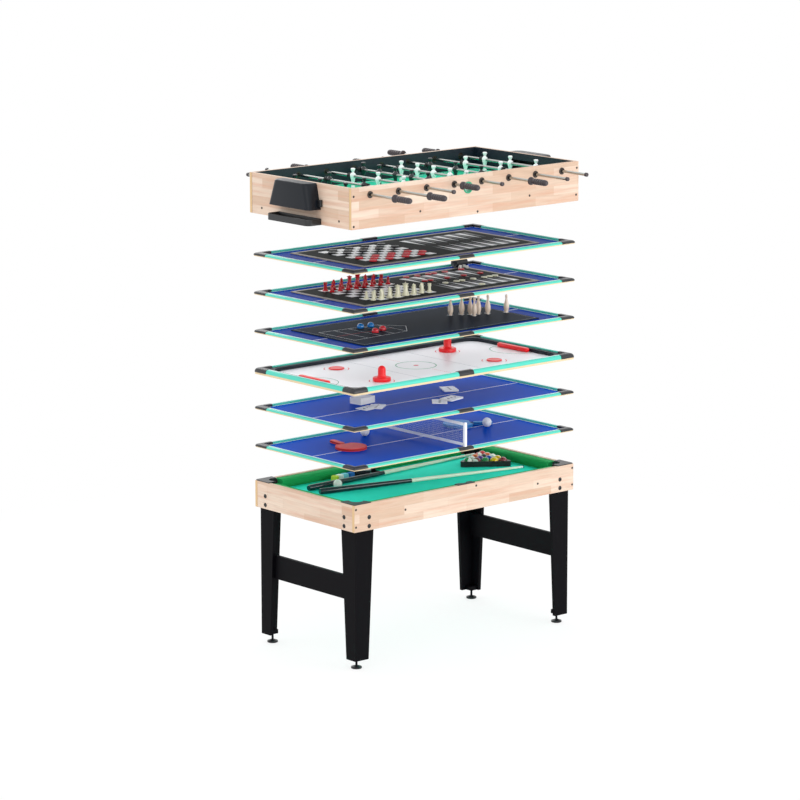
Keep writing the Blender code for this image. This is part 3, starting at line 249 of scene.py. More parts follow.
def moulded(name, colour, roughness, grain=0.8, depth=0.02, coat=0.0, gloss=0.5):
    """Plastic, melamine or rubber: one colour, a fine grain in millimetres and a slightly uneven gloss."""
    material, tree, shader = new_material(name, colour, roughness, coat=coat)
    shader.inputs["Specular IOR Level"].default_value = gloss
    reach = (roughness - 0.06, roughness + 0.08)
    noise = roughen(tree, shader, object_point(tree), grain, depth, reach)
    paint(tree, shader, shaded(tree, linear(colour), spread(tree, noise, FINE_TONE)))
    return material


BLACK_MELAMINE = moulded("black_melamine", "08070B", 0.5, grain=2.5, depth=0.03, gloss=0.06)
BLACK_ABS = moulded("black_abs", "15171A", 0.38, grain=0.9, depth=0.02)
GRIP_RUBBER = moulded("black_grip_rubber", "342C30", 0.36, grain=0.7, depth=0.04)
BUMPER_RUBBER = moulded("black_bumper_rubber", "17181A", 0.7, grain=0.7, depth=0.03)
CAP_ABS = moulded("grey_black_cap_abs", "17191E", 0.3, grain=1.5, depth=0.01)
GREEN_PVC = moulded("green_pvc", "46C6B2", 0.34, grain=1.4, depth=0.01)
# A white strip painted on the crown of each moulding as its highlight
CROWN_HIGHLIGHT = moulded("painted_crown_highlight", "EEF6FA", 0.35)
INLET_PVC = moulded("green_inlet_pvc", "2E9F77", 0.36)
FIBREBOARD = moulded("fibreboard_edge", "D8C29C", 0.75, grain=0.6, depth=0.05)
BACKING = moulded("white_backing_paper", "E8E6E2", 0.5)
ZINC_SCREW = moulded("black_zinc_screw", "2A241F", 0.35, grain=1.0)

# %% [markdown]
# Pieces are built as small meshes and joined, each part keeping its own material. Four shapes cover
# nearly everything: a flat outline pulled up, a profile turned round an axis, a profile carried
# between sections, and a box. A bevel modifier then rounds the edges that a hand would feel.

# %% Mesh helpers
def slab(outline, low, high, holes=()):
    """A flat outline with holes, pulled up from low to high."""
    solid = bmesh.new()
    edges = []
    for loop in [outline, *holes]:
        verts = [solid.verts.new((x, y, low)) for x, y in loop]
        edges += [solid.edges.new(pair) for pair in zip(verts, verts[1:] + verts[:1])]
    if holes:
        faces = bmesh.ops.triangle_fill(solid, use_beauty=True, use_dissolve=False, edges=edges)["geom"]
        faces = [item for item in faces if isinstance(item, bmesh.types.BMFace)]
    else:
        faces = [solid.faces.new(list(solid.verts))]
    raised = bmesh.ops.extrude_face_region(solid, geom=faces, use_keep_orig=True)["geom"]
    verts = [item for item in raised if isinstance(item, bmesh.types.BMVert)]
    bmesh.ops.translate(solid, verts=verts, vec=(0, 0, high - low))
    bmesh.ops.recalc_face_normals(solid, faces=solid.faces)
    return solid


def block(low, high):
    (x0, y0, z0), (x1, y1, z1) = low, high
    return slab([(x0, y0), (x1, y0), (x1, y1), (x0, y1)], z0, z1)


def turned(profile, sides=32):
    """A profile of (radius, height) turned round Z. Radius 0 closes an end."""
    solid = bmesh.new()
    rows = []
    for radius, height in profile:
        if radius == 0:
            rows.append([solid.verts.new((0, 0, height))])
            continue
        turn = tau / sides
        rows.append([solid.verts.new((radius * cos(turn * i), radius * sin(turn * i), height))
                     for i in range(sides)])
    for first, second in zip(rows, rows[1:]):
        for i in range(sides):
            j = (i + 1) % sides
            corners = [first[i % len(first)], first[j % len(first)],
                       second[j % len(second)], second[i % len(second)]]
            solid.faces.new(list(dict.fromkeys(corners)))
    bmesh.ops.recalc_face_normals(solid, faces=solid.faces)
    return solid


def turned_ring(profile, sides):
    """A closed profile turned round Z, so that a bore stays open."""
    solid = turned([*profile, profile[0]], sides)
    bmesh.ops.remove_doubles(solid, verts=solid.verts, dist=0.01 * MM)
    return solid


def carried(sections):
    """Skin over a row of sections that have the same number of points, closed at both ends."""
    solid = bmesh.new()
    rows = [[solid.verts.new(point) for point in section] for section in sections]
    for first, second in zip(rows, rows[1:]):
        for i in range(len(first)):
            j = (i + 1) % len(first)
            solid.faces.new((first[i], first[j], second[j], second[i]))
    solid.faces.new(rows[0])
    solid.faces.new(list(reversed(rows[-1])))
    bmesh.ops.recalc_face_normals(solid, faces=solid.faces)
    return solid


def moved(solid, x=0.0, y=0.0, z=0.0, turn=0.0, axis="Z"):
    """Turned by degrees about an axis through the origin, then shifted."""
    matrix = Matrix.Translation((x, y, z)) @ Matrix.Rotation(radians(turn), 4, axis)
    bmesh.ops.transform(solid, matrix=matrix, verts=solid.verts)
    return solid


def placed(parts, x, y, z=0.0, turn=0.0, axis="Z"):
    """Moves every solid of a list of (mesh, material) parts alike."""
    return [(moved(solid, x, y, z, turn, axis), material) for solid, material in parts]


def flipped(solid, x=1, y=1):
    """Mirrors a solid on itself."""
    bmesh.ops.scale(solid, vec=(x, y, 1), verts=solid.verts)
    if x * y < 0:
        bmesh.ops.reverse_faces(solid, faces=solid.faces)
    return solid


def arc(radius, first, last, steps, centre=(0, 0)):
    """Points from the first to the last angle in degrees."""
    angles = [radians(first + (last - first) * i / steps) for i in range(steps + 1)]
    return [(centre[0] + radius * cos(a), centre[1] + radius * sin(a)) for a in angles]


def round_profile(radius, height, step, count, first=0, x=0.0, z=0.0):
    """Points of an upright quarter round, each a step in degrees past the last."""
    angles = [radians(step * i) for i in range(first, count)]
    return [(x + radius * cos(a), z + height * sin(a)) for a in angles]


def circle(radius, centre=(0, 0), sides=32):
    return arc(radius, 0, 360 - 360 / sides, sides - 1, centre)


def rectangle(length, width, centre=(0, 0)):
    x, y = centre
    return [(x + sx * length / 2, y + sy * width / 2) for sx, sy in ((-1, -1), (1, -1), (1, 1), (-1, 1))]


def rounded_rectangle(length, width, rounding, centre=(0, 0), steps=6):
    x, y = centre
    reach_x, reach_y = length / 2 - rounding, width / 2 - rounding
    corners = ((reach_x, -reach_y, -90), (reach_x, reach_y, 0),
               (-reach_x, reach_y, 90), (-reach_x, -reach_y, 180))
    outline = []
    for cx, cy, start in corners:
        outline += arc(rounding, start, start + 90, steps, (x + cx, y + cy))
    return outline


SHARP_ANGLE, BEVEL_ANGLE = 38, 40


def eased(made, width_mm):
    """Rounds the sharp edges of an object."""
    bevel = made.modifiers.new("eased_edges", "BEVEL")
    bevel.width = width_mm * MM
    bevel.segments = 2
    bevel.limit_method = "ANGLE"
    bevel.angle_limit = radians(BEVEL_ANGLE)


def piece(name, body, parts, bevel_mm=0.0, smooth=True, replaced=()):
    """Joins (mesh, material) parts into one object that rides on a body of the frame."""
    mesh = bpy.data.meshes.new(name)
    joined = bmesh.new()
    materials = []
    for solid, material in parts:
        if material not in materials:
            materials.append(material)
        for face in solid.faces:
            face.material_index = materials.index(material)
        part = bpy.data.meshes.new("part")
        solid.to_mesh(part)
        solid.free()
        joined.from_mesh(part)
        bpy.data.meshes.remove(part)
    joined.to_mesh(mesh)
    joined.free()
    for material in materials:
        mesh.materials.append(material)
    made = bpy.data.objects.new(name, mesh)
    bpy.context.scene.collection.objects.link(made)
    if smooth:
        mesh.shade_smooth()
        mesh.set_sharp_from_angle(angle=radians(SHARP_ANGLE))
    if bevel_mm:
        eased(made, bevel_mm)
    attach(made, body)
    if replaced:
        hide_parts(*replaced)
    return made


CORNERS = (("front_left", -1, -1), ("front_right", 1, -1), ("back_right", 1, 1), ("back_left", -1, 1))
SIDES = (("front", -1), ("back", 1))
ENDS = (("left", -1), ("right", 1))
HAIR = 0.15 * MM
print("helpers ready")

# %% [markdown]
# The four apron boards are butted at the corners and held by cross dowels. What shows is a pair of
# large black bolt heads over each leg and small black screws. The boards take the box of their
# solids, without the bolt heads, which are turned and stand on the wood. The long boards reach the
# corners, and a thin ochre band covers each of their sawn ends.

# %% Apron boards with bolts and screws
BOLT_RADIUS = 0.0092
BOLT_HEAD = 0.0036
BOLT_INSET_LONG = 0.078
BOLT_INSET_END = 0.066
BOLT_DROPS = (0.058, 0.095)
SCREW_RADIUS, SCREW_DOME = 0.005, 0.35
SOCKET_SHARE, SOCKET_RIM, SOCKET_FLOOR = 0.42, 0.92, 0.3
BAND, BAND_EDGE = 0.0003, 0.0012
APRON_BEVEL_MM = 1.2
# Each screw's place along the board and its drop below the rim
APRON_SCREWS = ((-0.602, 0.018), (-0.602, 0.091), (-0.337, 0.057), (0.053, 0.0135), (0.403, 0.057),
                (0.603, 0.018), (0.603, 0.09))

half_x, half_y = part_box("card_board")[1][0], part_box("card_board")[1][1]
apron_low, base_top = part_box("front_apron")[0][2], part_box("front_apron")[1][2]
inner_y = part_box("back_apron")[0][1]
inner_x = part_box("right_apron")[0][0]


def bolt_head(radius, height):
    """Low domed head with a hexagon socket, standing on Z 0."""
    socket = radius * SOCKET_SHARE
    return turned([*round_profile(radius, height, 15, 5), (socket, height * SOCKET_RIM),
                   (socket, height * SOCKET_FLOOR), (0, height * SOCKET_FLOOR)], 24)


def facing(solid, direction, x, y, z):
    """A piece that stood on Z 0 now stands on a vertical board, facing along X or Y."""
    turns = {"+x": (90, "Y"), "-x": (-90, "Y"), "+y": (-90, "X"), "-y": (90, "X")}
    turn, axis = turns[direction]
    return moved(solid, x, y, z, turn=turn, axis=axis)


def bolt(direction, x, y, z):
    return facing(bolt_head(BOLT_RADIUS, BOLT_HEAD), direction, x, y, z), BLACK_ABS


def screw(direction, x, y, z):
    return facing(bolt_head(SCREW_RADIUS, SCREW_RADIUS * SCREW_DOME), direction, x, y, z), ZINC_SCREW


def end_bands(reach, low_y, high_y, low_z, high_z):
    """Thin bands glued on the two sawn ends of a long board."""
    bands = []
    for sx in (-1, 1):
        inner, outer = sorted((sx * (reach - HAIR), sx * (reach + BAND)))
        bands.append((block((inner, low_y + BAND_EDGE, low_z + BAND_EDGE),
                            (outer, high_y - BAND_EDGE, high_z - BAND_EDGE)), END_BAND))
    return bands


for name, sy in SIDES:
    face = "-y" if sy < 0 else "+y"
    low_y, high_y = sorted((sy * inner_y, sy * half_y))
    parts = [(block((-half_x, low_y, apron_low), (half_x, high_y, base_top)), WOOD_X)]
    for x in (BOLT_INSET_LONG - half_x, half_x - BOLT_INSET_LONG):
        parts += [bolt(face, x, sy * half_y, base_top - drop) for drop in BOLT_DROPS]
    parts += [screw(face, x, sy * half_y, base_top - drop) for x, drop in APRON_SCREWS]
    piece(f"{name}_apron_board", "base_table", parts, bevel_mm=APRON_BEVEL_MM, replaced=[f"{name}_apron"])
    bands = end_bands(half_x, low_y, high_y, apron_low, base_top)
    piece(f"{name}_apron_end_bands", "base_table", bands)

for name, sx in ENDS:
    face = "-x" if sx < 0 else "+x"
    low_x, high_x = sorted((sx * inner_x, sx * half_x))
    parts = [(block((low_x, -inner_y, apron_low), (high_x, inner_y, base_top)), WOOD_Y)]
    for y in (BOLT_INSET_END - half_y, half_y - BOLT_INSET_END):
        parts += [bolt(face, sx * half_x, y, base_top - drop) for drop in BOLT_DROPS]
    piece(f"{name}_apron_board", "base_table", parts, bevel_mm=APRON_BEVEL_MM, replaced=[f"{name}_apron"])
print("aprons", round(2 * half_x, 3), "by", round(2 * half_y, 3), "m")

# %% [markdown]
# The legs, brackets and stretchers keep their solids, because the shape is right. They only need
# their finish and eased edges. The levelling feet are turned again with more sides and a soft lip.

# %% Legs, stretchers and feet
LEG_BEVEL_MM = 0.8
FOOT_PAD, FOOT_LIP = 0.009, 0.003
FOOT_CONE = 0.005
STEM_RADIUS = 0.005
THREAD_PITCH, THREAD_ROOT = 1.5 * MM, STEM_RADIUS * 0.84

for name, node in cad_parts.items():
    if name.endswith("_leg") or name.endswith("_stretcher"):
        node.data.materials[0] = BLACK_MELAMINE
        eased(node, LEG_BEVEL_MM)

for name, sx, sy in CORNERS:
    low, high = (Vector(corner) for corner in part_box(f"{name}_leveling_foot"))
    middle = (low + high) / 2
    radius = (high.x - low.x) / 2
    pad = [(0, 0), (radius - FOOT_LIP, 0), (radius, FOOT_LIP / 2), (radius, FOOT_PAD - FOOT_LIP / 2),
           (radius - FOOT_LIP, FOOT_PAD), (radius * 0.45, FOOT_PAD + FOOT_CONE * 0.6),
           (STEM_RADIUS * 1.3, FOOT_PAD + FOOT_CONE)]
    threads = []
    height = FOOT_PAD + FOOT_CONE
    while height < high.z - 2 * MM:
        threads += [(STEM_RADIUS, height), (THREAD_ROOT, height + THREAD_PITCH / 2)]
        height += THREAD_PITCH
    foot = moved(turned([*pad, *threads, (THREAD_ROOT, high.z), (0, high.z)], 40), middle.x, middle.y)
    piece(f"{name}_levelling_foot", "base_table", [(foot, BLACK_ABS)], replaced=[f"{name}_leveling_foot"])
print("four legs dressed")

# %% [markdown]
# The bed is a fibreboard sheet under green nylon cloth, and the cushions are rubber rails under the
# same cloth in a darker green. Woven cloth shows as a soft surface with a fine crossed thread, so
# two wave textures at thread spacing, drawn a little coarse, drive the bump. A broad noise is the nap.

# %% Cloth
THREAD_MM = 1.1
THREAD_DEPTH = 0.1 * MM
NAP_SCALE = 18.0


def woven_cloth(name, colour, shade):
    material, tree, shader = new_material(name, colour, 0.9)
    point = object_point(tree)
    threads = []
    for direction in ("X", "Y"):
        sizes = {"Vector": point, "Scale": 1 / (THREAD_MM * MM) / pi, "Distortion": 0.6}
        wave = add(tree, "TexWave", sizes, wave_type="BANDS", bands_direction=direction)
        threads.append(wave.outputs["Fac"])
    emboss(tree, shader, maths(tree, "MULTIPLY", *threads), THREAD_DEPTH, 0.4)
    nap = speckle(tree, point, NAP_SCALE, 4)
    paint(tree, shader, mixed(tree, nap, linear(colour), linear(shade)))
    return material


BED_CLOTH = woven_cloth("green_nylon_cloth", "12F2DC", "0CE6CC")
CUSHION_CLOTH = woven_cloth("dark_green_nylon_cloth", "12A85A", "0C944C")
print("cloth thread", THREAD_MM, "mm")

# %% [markdown]
# The bed shows between the cushions and drops into six round pocket mouths. The outline is walked
# round the table with an arc at each pocket. A cushion has a flat top, a rounded nose that meets
# the ball above its middle, and ends cut back at an angle into the pocket.

# %% Bed and cushions
SEAT = 0.3 * MM
POCKET_RADIUS = 0.0275
POCKET_WALL = 0.003
LEG_BOARD = 0.015
CUSHION_WIDTH = 0.034
CUSHION_FOOT = 0.02
CUSHION_TOP_DROP = 0.003
CUSHION_NOSE_DROP = 0.014
CUSHION_NOSE = 0.01
CUSHION_UNDERCUT = 0.002
CUSHION_END_CUT = 0.016
CUSHION_FLAT = (CUSHION_WIDTH - CUSHION_NOSE) * 0.75
CUSHION_SHARES = (0, 0.02, 0.25, 0.5, 0.75, 0.98, 1)
BED_DEPTH = 0.045
BED_THICKNESS = 0.009

bed_top = base_top - BED_DEPTH
pocket_reach = POCKET_RADIUS + POCKET_WALL
corner_x = half_x - (half_x - inner_x) - LEG_BOARD - 2 * SEAT - pocket_reach
corner_y = half_y - (half_y - inner_y) - LEG_BOARD - 2 * SEAT - pocket_reach
middle_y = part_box("mid_back_pocket")[0][1] + pocket_reach


def bed_outline():
    """Bed with a round notch at each pocket."""
    reach_x, reach_y = inner_x - SEAT, inner_y - SEAT
    notch = pocket_reach + SEAT
    swing = degrees(acos(min(1.0, (reach_x - corner_x) / notch)))
    dip = degrees(asin(min(1.0, (reach_y - middle_y) / notch)))
    right = arc(notch, -swing, swing - 270, 24, (corner_x, corner_y))
    middle = arc(notch, dip, -180 - dip, 24, (0, middle_y))
    left = [(-x, y) for x, y in reversed(right)]
    half = right + middle + left
    return half + [(-x, -y) for x, y in half]


def cushion(back, face, start, stop, along_x):
    """One rail with its back on the apron and both ends cut back."""
    inward = 1 if face > back else -1
    top = base_top - CUSHION_TOP_DROP
    nose_top, nose_low = base_top - CUSHION_NOSE_DROP, base_top - CUSHION_NOSE_DROP - CUSHION_NOSE
    profile = [(0.0, bed_top), (0.0, top), (CUSHION_FLAT, top)]
    for i in range(1, 6):
        a = radians(90 - 18 * i)
        profile.append((CUSHION_FLAT + (CUSHION_WIDTH - CUSHION_FLAT) * cos(a),
                        nose_top + (top - nose_top) * sin(a)))
    profile += [(CUSHION_WIDTH - CUSHION_UNDERCUT, nose_low), (CUSHION_FOOT, bed_top)]
    sections = []
    length = abs(stop - start)
    for share in CUSHION_SHARES:
        section = []
        for depth, height in profile:
            cut = CUSHION_END_CUT * depth / CUSHION_WIDTH
            along = start + cut + (length - 2 * cut) * share
            across = back + inward * depth
            section.append((along, across, height) if along_x else (across, along, height))
        sections.append(section)
    return carried(sections)


bed = slab(bed_outline(), bed_top - BED_THICKNESS, bed_top)
rails = []
clear = pocket_reach + SEAT
for side in (-1, 1):
    back_y = side * (inner_y - 2 * SEAT)
    rails.append(cushion(back_y, 0.0, clear, corner_x - clear, True))
    rails.append(cushion(back_y, 0.0, clear - corner_x, -clear, True))
    back_x = side * (inner_x - 2 * SEAT)
    rails.append(cushion(back_x, 0.0, clear - corner_y, corner_y - clear, False))
piece("bed_and_cushions", "base_table", [(bed, BED_CLOTH)] + [(rail, CUSHION_CLOTH) for rail in rails],
      replaced=["pool_bed"])
print("bed top at", round(bed_top, 4), "m")

# %% [markdown]
# Each pocket is one moulding: a round cup below the bed, a curved shield behind it and a plate that
# caps the rail. The cup keeps an open mouth, so it is made of rings and not filled.

# %% Pockets
PLATE_THICKNESS = 0.0035
PLATE_REACH = 0.088
PLATE_STRIP = 0.026
PLATE_ROUNDING = 0.01
MID_PLATE_LENGTH = 0.092
PLATE_ARC, MID_PLATE_ARC = (-40, 130), (40, 140)
POCKET_BEVEL_MM = 0.5
CUP_DEPTH = 0.042
CUP_FLOOR, CUP_ROUND = 3 * MM, 4 * MM
POCKET_STEPS = 20
CORNER_SHIELD = (-52, 142)
MIDDLE_SHIELD = (32, 148)


def pocket_shell(x, y, first, last):
    """Cup and shield of one pocket, with the shield standing between two angles."""
    low, inner = bed_top - CUP_DEPTH, POCKET_RADIUS
    cup = turned([(0, low), (pocket_reach - CUP_ROUND, low), (pocket_reach, low + CUP_ROUND),
                  (pocket_reach, bed_top), (inner, bed_top), (inner, low + (CUP_FLOOR + CUP_ROUND)),
                  (inner - CUP_ROUND, low + CUP_FLOOR), (0, low + CUP_FLOOR)], 36)
    band = arc(pocket_reach - HAIR, first, last, POCKET_STEPS)
    band += arc(POCKET_RADIUS + HAIR, last, first, POCKET_STEPS)
    shield = slab(band, bed_top - HAIR, base_top + HAIR)
    return [moved(cup, x, y), moved(shield, x, y)]


def corner_plate():
    """Plate on the corner of the rails, with a round mouth, drawn at the back right corner."""
    mouth = arc(POCKET_RADIUS + POCKET_WALL / 2, *PLATE_ARC, POCKET_STEPS, (corner_x, corner_y))
    start_x, start_y = half_x - PLATE_REACH, half_y - PLATE_REACH
    turning = arc(PLATE_ROUNDING, 0, 90, 6, (half_x - PLATE_ROUNDING, half_y - PLATE_ROUNDING))
    outer = [(half_x, start_y), *turning, (start_x, half_y), (start_x, half_y - PLATE_STRIP)]
    outline = outer + list(reversed(mouth)) + [(half_x - PLATE_STRIP, start_y)]
    return slab(outline, base_top + SEAT, base_top + PLATE_THICKNESS)


def middle_plate():
    mouth = arc(POCKET_RADIUS + POCKET_WALL / 2, *MID_PLATE_ARC, POCKET_STEPS, (0, middle_y))
    half = MID_PLATE_LENGTH / 2
    outline = [(half, half_y), (-half, half_y), (-half, half_y - PLATE_STRIP)]
    outline += list(reversed(mouth)) + [(half, half_y - PLATE_STRIP)]
    return slab(outline, base_top + SEAT, base_top + PLATE_THICKNESS)


for name, sx, sy in CORNERS:
    solids = [*pocket_shell(corner_x, corner_y, *CORNER_SHIELD), corner_plate()]
    parts = [(flipped(solid, sx, sy), BLACK_ABS) for solid in solids]
    piece(f"{name}_pocket_moulding", "base_table", parts, bevel_mm=POCKET_BEVEL_MM,
          replaced=[f"{name}_pocket"])
for name, sy in SIDES:
    solids = [*pocket_shell(0, middle_y, *MIDDLE_SHIELD), middle_plate()]
    parts = [(flipped(solid, 1, sy), BLACK_ABS) for solid in solids]
    piece(f"mid_{name}_pocket_moulding", "base_table", parts, bevel_mm=POCKET_BEVEL_MM,
          replaced=[f"mid_{name}_pocket"])
print("six pockets")

# %% [markdown]
# The pool balls are cast phenolic resin, polished until a clear reflection sits on deep colour.
# A striped ball is white with a coloured belt, so the belt is its own band of faces. Each ball is
# turned at random, as balls lie after they were racked by hand.

# %% Pool balls in their rack
BALL_RADIUS = 0.019
BALL_BANDS = 14
BALL_SEED = 7
RACK_ORDER = (2, 10, 12, 4, 7, 9, 11, 3, 1, 8, 13, 14, 5, 0, 6)
BALL_COLOURS = ("F2C200", "1F4FB5", "D3222A", "5B2C8B", "E8641B", "15803D", "8A1C2C", "17181A")
STRIPE_SHARE = 0.42
BALL_GLOSS = (0.06, 0.14)
RACK_MIDDLE = (0.462, 0.081)
RACK_TURN = -126.0
RACK_ROWS = 5
RACK_WALL = 0.005
RACK_HEIGHT = 0.024
RACK_ROUNDING = 0.012
CUE_BALL_PLACE = (-0.325, 0.125)


def phenolic(name, colour):
    """Cast resin under a polished skin."""
    material, tree, shader = new_material(name, colour, 0.08, ior=1.54, coat=0.6)
    noise = speckle(tree, object_point(tree), 90.0)
    tree.links.new(spread(tree, noise, BALL_GLOSS), shader.inputs["Roughness"])
    return material


def ball(radius, place, plain, belt=None, turn=(0, 0)):
    """A ball as a turned profile, with an optional belt in a second material."""
    angles = [pi * i / BALL_BANDS for i in range(1, BALL_BANDS)]
    profile = [(radius * sin(a), -radius * cos(a)) for a in angles]
    solid = turned([(0, -radius), *profile, (0, radius)], 2 * BALL_BANDS)
    parts = [(solid, plain)] if belt is None else [(solid, belt), (solid.copy(), plain)]
    if belt is not None:
        for part, material in parts:
            faces = [face for face in part.faces
                     if (abs(face.calc_center_median().z) < radius * STRIPE_SHARE) != (material is belt)]
            bmesh.ops.delete(part, geom=faces, context="FACES")
    parts = placed(parts, 0, 0, turn=turn[0], axis="X")
    return placed(placed(parts, 0, 0, turn=turn[1]), *place)


BALL_WHITE = phenolic("phenolic_ivory", "F3F1EA")
chance = random.Random(BALL_SEED)
resins = [phenolic(f"phenolic_resin_{number}", hue) for number, hue in enumerate(BALL_COLOURS, 1)]
floor = bed_top + SEAT
pitch = 2 * BALL_RADIUS
step = pitch * sin(radians(60))
middle = step * (RACK_ROWS - 1) * 2 / 3
parts = []
places = [(row * step - middle, (place - row / 2) * pitch)
          for row in range(RACK_ROWS) for place in range(row + 1)]
rack_turn = Matrix.Rotation(radians(RACK_TURN), 2)
for number, (x, y) in zip(RACK_ORDER, places):
    spot = rack_turn @ Vector((x, y))
    resin = resins[number % len(resins)]
    striped = number >= len(resins)
    parts += ball(BALL_RADIUS - HAIR, (spot.x + RACK_MIDDLE[0], spot.y + RACK_MIDDLE[1], floor + BALL_RADIUS),
                  BALL_WHITE if striped else resin, resin if striped else None,
                  turn=(chance.uniform(0, 90), chance.uniform(0, 360)))


def rack_outline(inscribed, rounding):
    """Triangle with rounded corners whose sides lie at one distance from its middle."""
    outline = []
    for direction in (180, 300, 60):
        reach = 2 * (inscribed - rounding)
        corner = (reach * cos(radians(direction)), reach * sin(radians(direction)))
        outline += arc(rounding, direction - 60, direction + 60, 8, corner)
    return outline


inside = step * (RACK_ROWS - 1) / 3 + BALL_RADIUS
frame_solid = slab(rack_outline(inside + RACK_WALL, RACK_ROUNDING), floor, floor + RACK_HEIGHT,
                   [rack_outline(inside, BALL_RADIUS - HAIR)])
parts.append((moved(frame_solid, *RACK_MIDDLE, turn=RACK_TURN), BLACK_ABS))
piece("racked_pool_balls", "base_table", parts, replaced=["racked_balls"])
piece("white_cue_ball", "base_table",
      ball(BALL_RADIUS, (*CUE_BALL_PLACE, floor + BALL_RADIUS), BALL_WHITE), replaced=["cue_ball"])
print("fifteen balls, pitch", round(pitch * 1000, 1), "mm")

# %% [markdown]
# A cue is turned from ramin or maple. The thick butt is lacquered black and meets the pale shaft in
# a tapering splice, then comes a white ferrule and a leather tip. There is one turned profile per
# material, and the cue leans by its own taper so that it touches the cloth at both ends.

# %% Cue sticks
CUE_LENGTH = 1.0
BUTT_RADIUS = 0.0125
SPLICE_RADIUS = 0.0085
TIP_RADIUS = 0.005
SPLICE = 0.44
CUE_POINT = 0.08
CUE_THICK = 0.12
BUTT_ROUND, TIP_ROUND = 0.004, 0.002
FERRULE = 0.018
TIP = 0.006
CUES = ((-0.45, 0.165, 4.0), (-0.455, 0.085, -10.5))
GRAIN_MM = 3.0


def close_grained(name, colour, dark, along_scale, coat=0.4):
    """Varnished wood with fine streaks."""
    material, tree, shader = new_material(name, colour, 0.35, coat=coat)
    grain = speckle(tree, object_point(tree, along_scale), 1 / (GRAIN_MM * MM), 3)
    paint(tree, shader, mixed(tree, grain, linear(dark), linear(colour)))
    emboss(tree, shader, grain, 0.05 * MM, 0.3)
    return material


MAPLE = close_grained("varnished_maple", "FBF7EA", "F0E4CC", (0.08, 1, 1))
LACQUER = moulded("black_lacquer", "171E28", 0.22, grain=3.0, depth=0.005, coat=0.5)
FERRULE_WHITE = moulded("ferrule_white", "F6F6F2", 0.35)
TIP_LEATHER = moulded("tip_leather", "3C6B8C", 0.85, grain=0.4, depth=0.05)


def oval(width, depth, height, sides):
    """Points of an oval that lies flat, with its half width along Y."""
    turns = [tau * i / sides for i in range(sides)]
    return [(depth * cos(a), width * sin(a), height) for a in turns]


def cue():
    """The turned parts of a cue that stands on its butt."""
    shaft_end = CUE_LENGTH - FERRULE - TIP
    near_tip, ferrule_end = TIP_RADIUS, shaft_end + FERRULE
    profiles = (([(0, 0), (BUTT_RADIUS * 0.85, 0), (BUTT_RADIUS, BUTT_ROUND),
                  (BUTT_RADIUS * 0.97, CUE_THICK), (SPLICE_RADIUS, SPLICE), (0, SPLICE)], LACQUER),
                ([(0, SPLICE), (SPLICE_RADIUS, SPLICE), (near_tip, shaft_end), (0, shaft_end)], MAPLE),
                ([(0, shaft_end), (near_tip, shaft_end), (near_tip, ferrule_end), (0, ferrule_end)],
                 FERRULE_WHITE),
                ([(0, ferrule_end), (near_tip, ferrule_end), (near_tip, CUE_LENGTH - TIP_ROUND),
                  (near_tip * 0.6, CUE_LENGTH), (0, CUE_LENGTH)], TIP_LEATHER))
    point = carried([oval(SPLICE_RADIUS * 0.35, SPLICE_RADIUS * 0.9, SPLICE, 8),
                     oval(MM, MM, SPLICE + CUE_POINT, 8)])
    return [(turned(profile, 24), material) for profile, material in profiles] + [(point, LACQUER)]


cue_lean = degrees(atan((BUTT_RADIUS - TIP_RADIUS) / CUE_LENGTH))
for number, (x, y, turn) in enumerate(CUES, 1):
    laid = placed(cue(), 0, 0, turn=90 + cue_lean, axis="Y")
    parts = placed(laid, x, y, floor + BUTT_RADIUS + SEAT, turn)
    piece(f"cue_{number}", "base_table", parts, replaced=[f"cue_stick_{number}"])
print("cues", CUE_LENGTH, "m long")

# %% [markdown]
# A black brush and four cubes of chalk lie by the far rail. The brush has a lacquered back, and its
# bristles stand in tufts. Each chalk is a small cube in a paper wrap, with a worn spot on its top.

# %% Brush and chalk
BRUSH_LENGTH, BRUSH_WIDTH, BRUSH_BACK, BRISTLE = 0.09, 0.032, 0.014, 0.014
BRUSH_PLACE, BRUSH_TURN = (-0.105, 0.236), -20
TUFT_STEP, TUFT_MARGIN, TUFT_LEAN_MM = 0.0045, 0.014, 0.8
TUFT_TIP, TUFT_ROOT = 1.9 * MM, 1.2 * MM
CHALK_SIZE = 0.026
CHALK_WRAP, CHALK_SPOT = 0.72, 0.0002
CHALKS = {"blue": (-0.163, 0.234, 8.0, "1C6FC0"), "cyan": (-0.194, 0.236, -6.0, "7FD6E6"),
          "white": (-0.224, 0.233, 14.0, "EAF4F2"), "lime": (-0.254, 0.228, 30.0, "CFE24A")}

BRISTLE_BLACK = moulded("black_bristle", "14120F", 0.85, grain=0.5, depth=0.2)


def tuft(x, y, lean):
    """A tuft of bristles from its spread tip on the cloth up into the back of the brush."""
    turns = [tau * i / 5 for i in range(5)]
    rings = ((lean, TUFT_TIP, floor), (0, TUFT_ROOT, floor + BRISTLE + MM))
    return carried([[(x + shift + radius * cos(a), y + shift + radius * sin(a), z) for a in turns]
                    for shift, radius, z in rings])


back = slab(rounded_rectangle(BRUSH_LENGTH, BRUSH_WIDTH, BRUSH_WIDTH * 0.45),
            floor + BRISTLE, floor + BRISTLE + BRUSH_BACK)
parts = [(back, LACQUER)]
columns = int((BRUSH_LENGTH - TUFT_MARGIN) / TUFT_STEP)
for column in range(columns + 1):
    for row in range(-2, 3):
        lean = chance.uniform(-TUFT_LEAN_MM, TUFT_LEAN_MM) * MM
        solid = tuft(-columns * TUFT_STEP / 2 + column * TUFT_STEP, row * TUFT_STEP, lean)
        parts.append((solid, BRISTLE_BLACK))
piece("table_brush", "base_table", placed(parts, *BRUSH_PLACE, turn=BRUSH_TURN), bevel_mm=0.8)

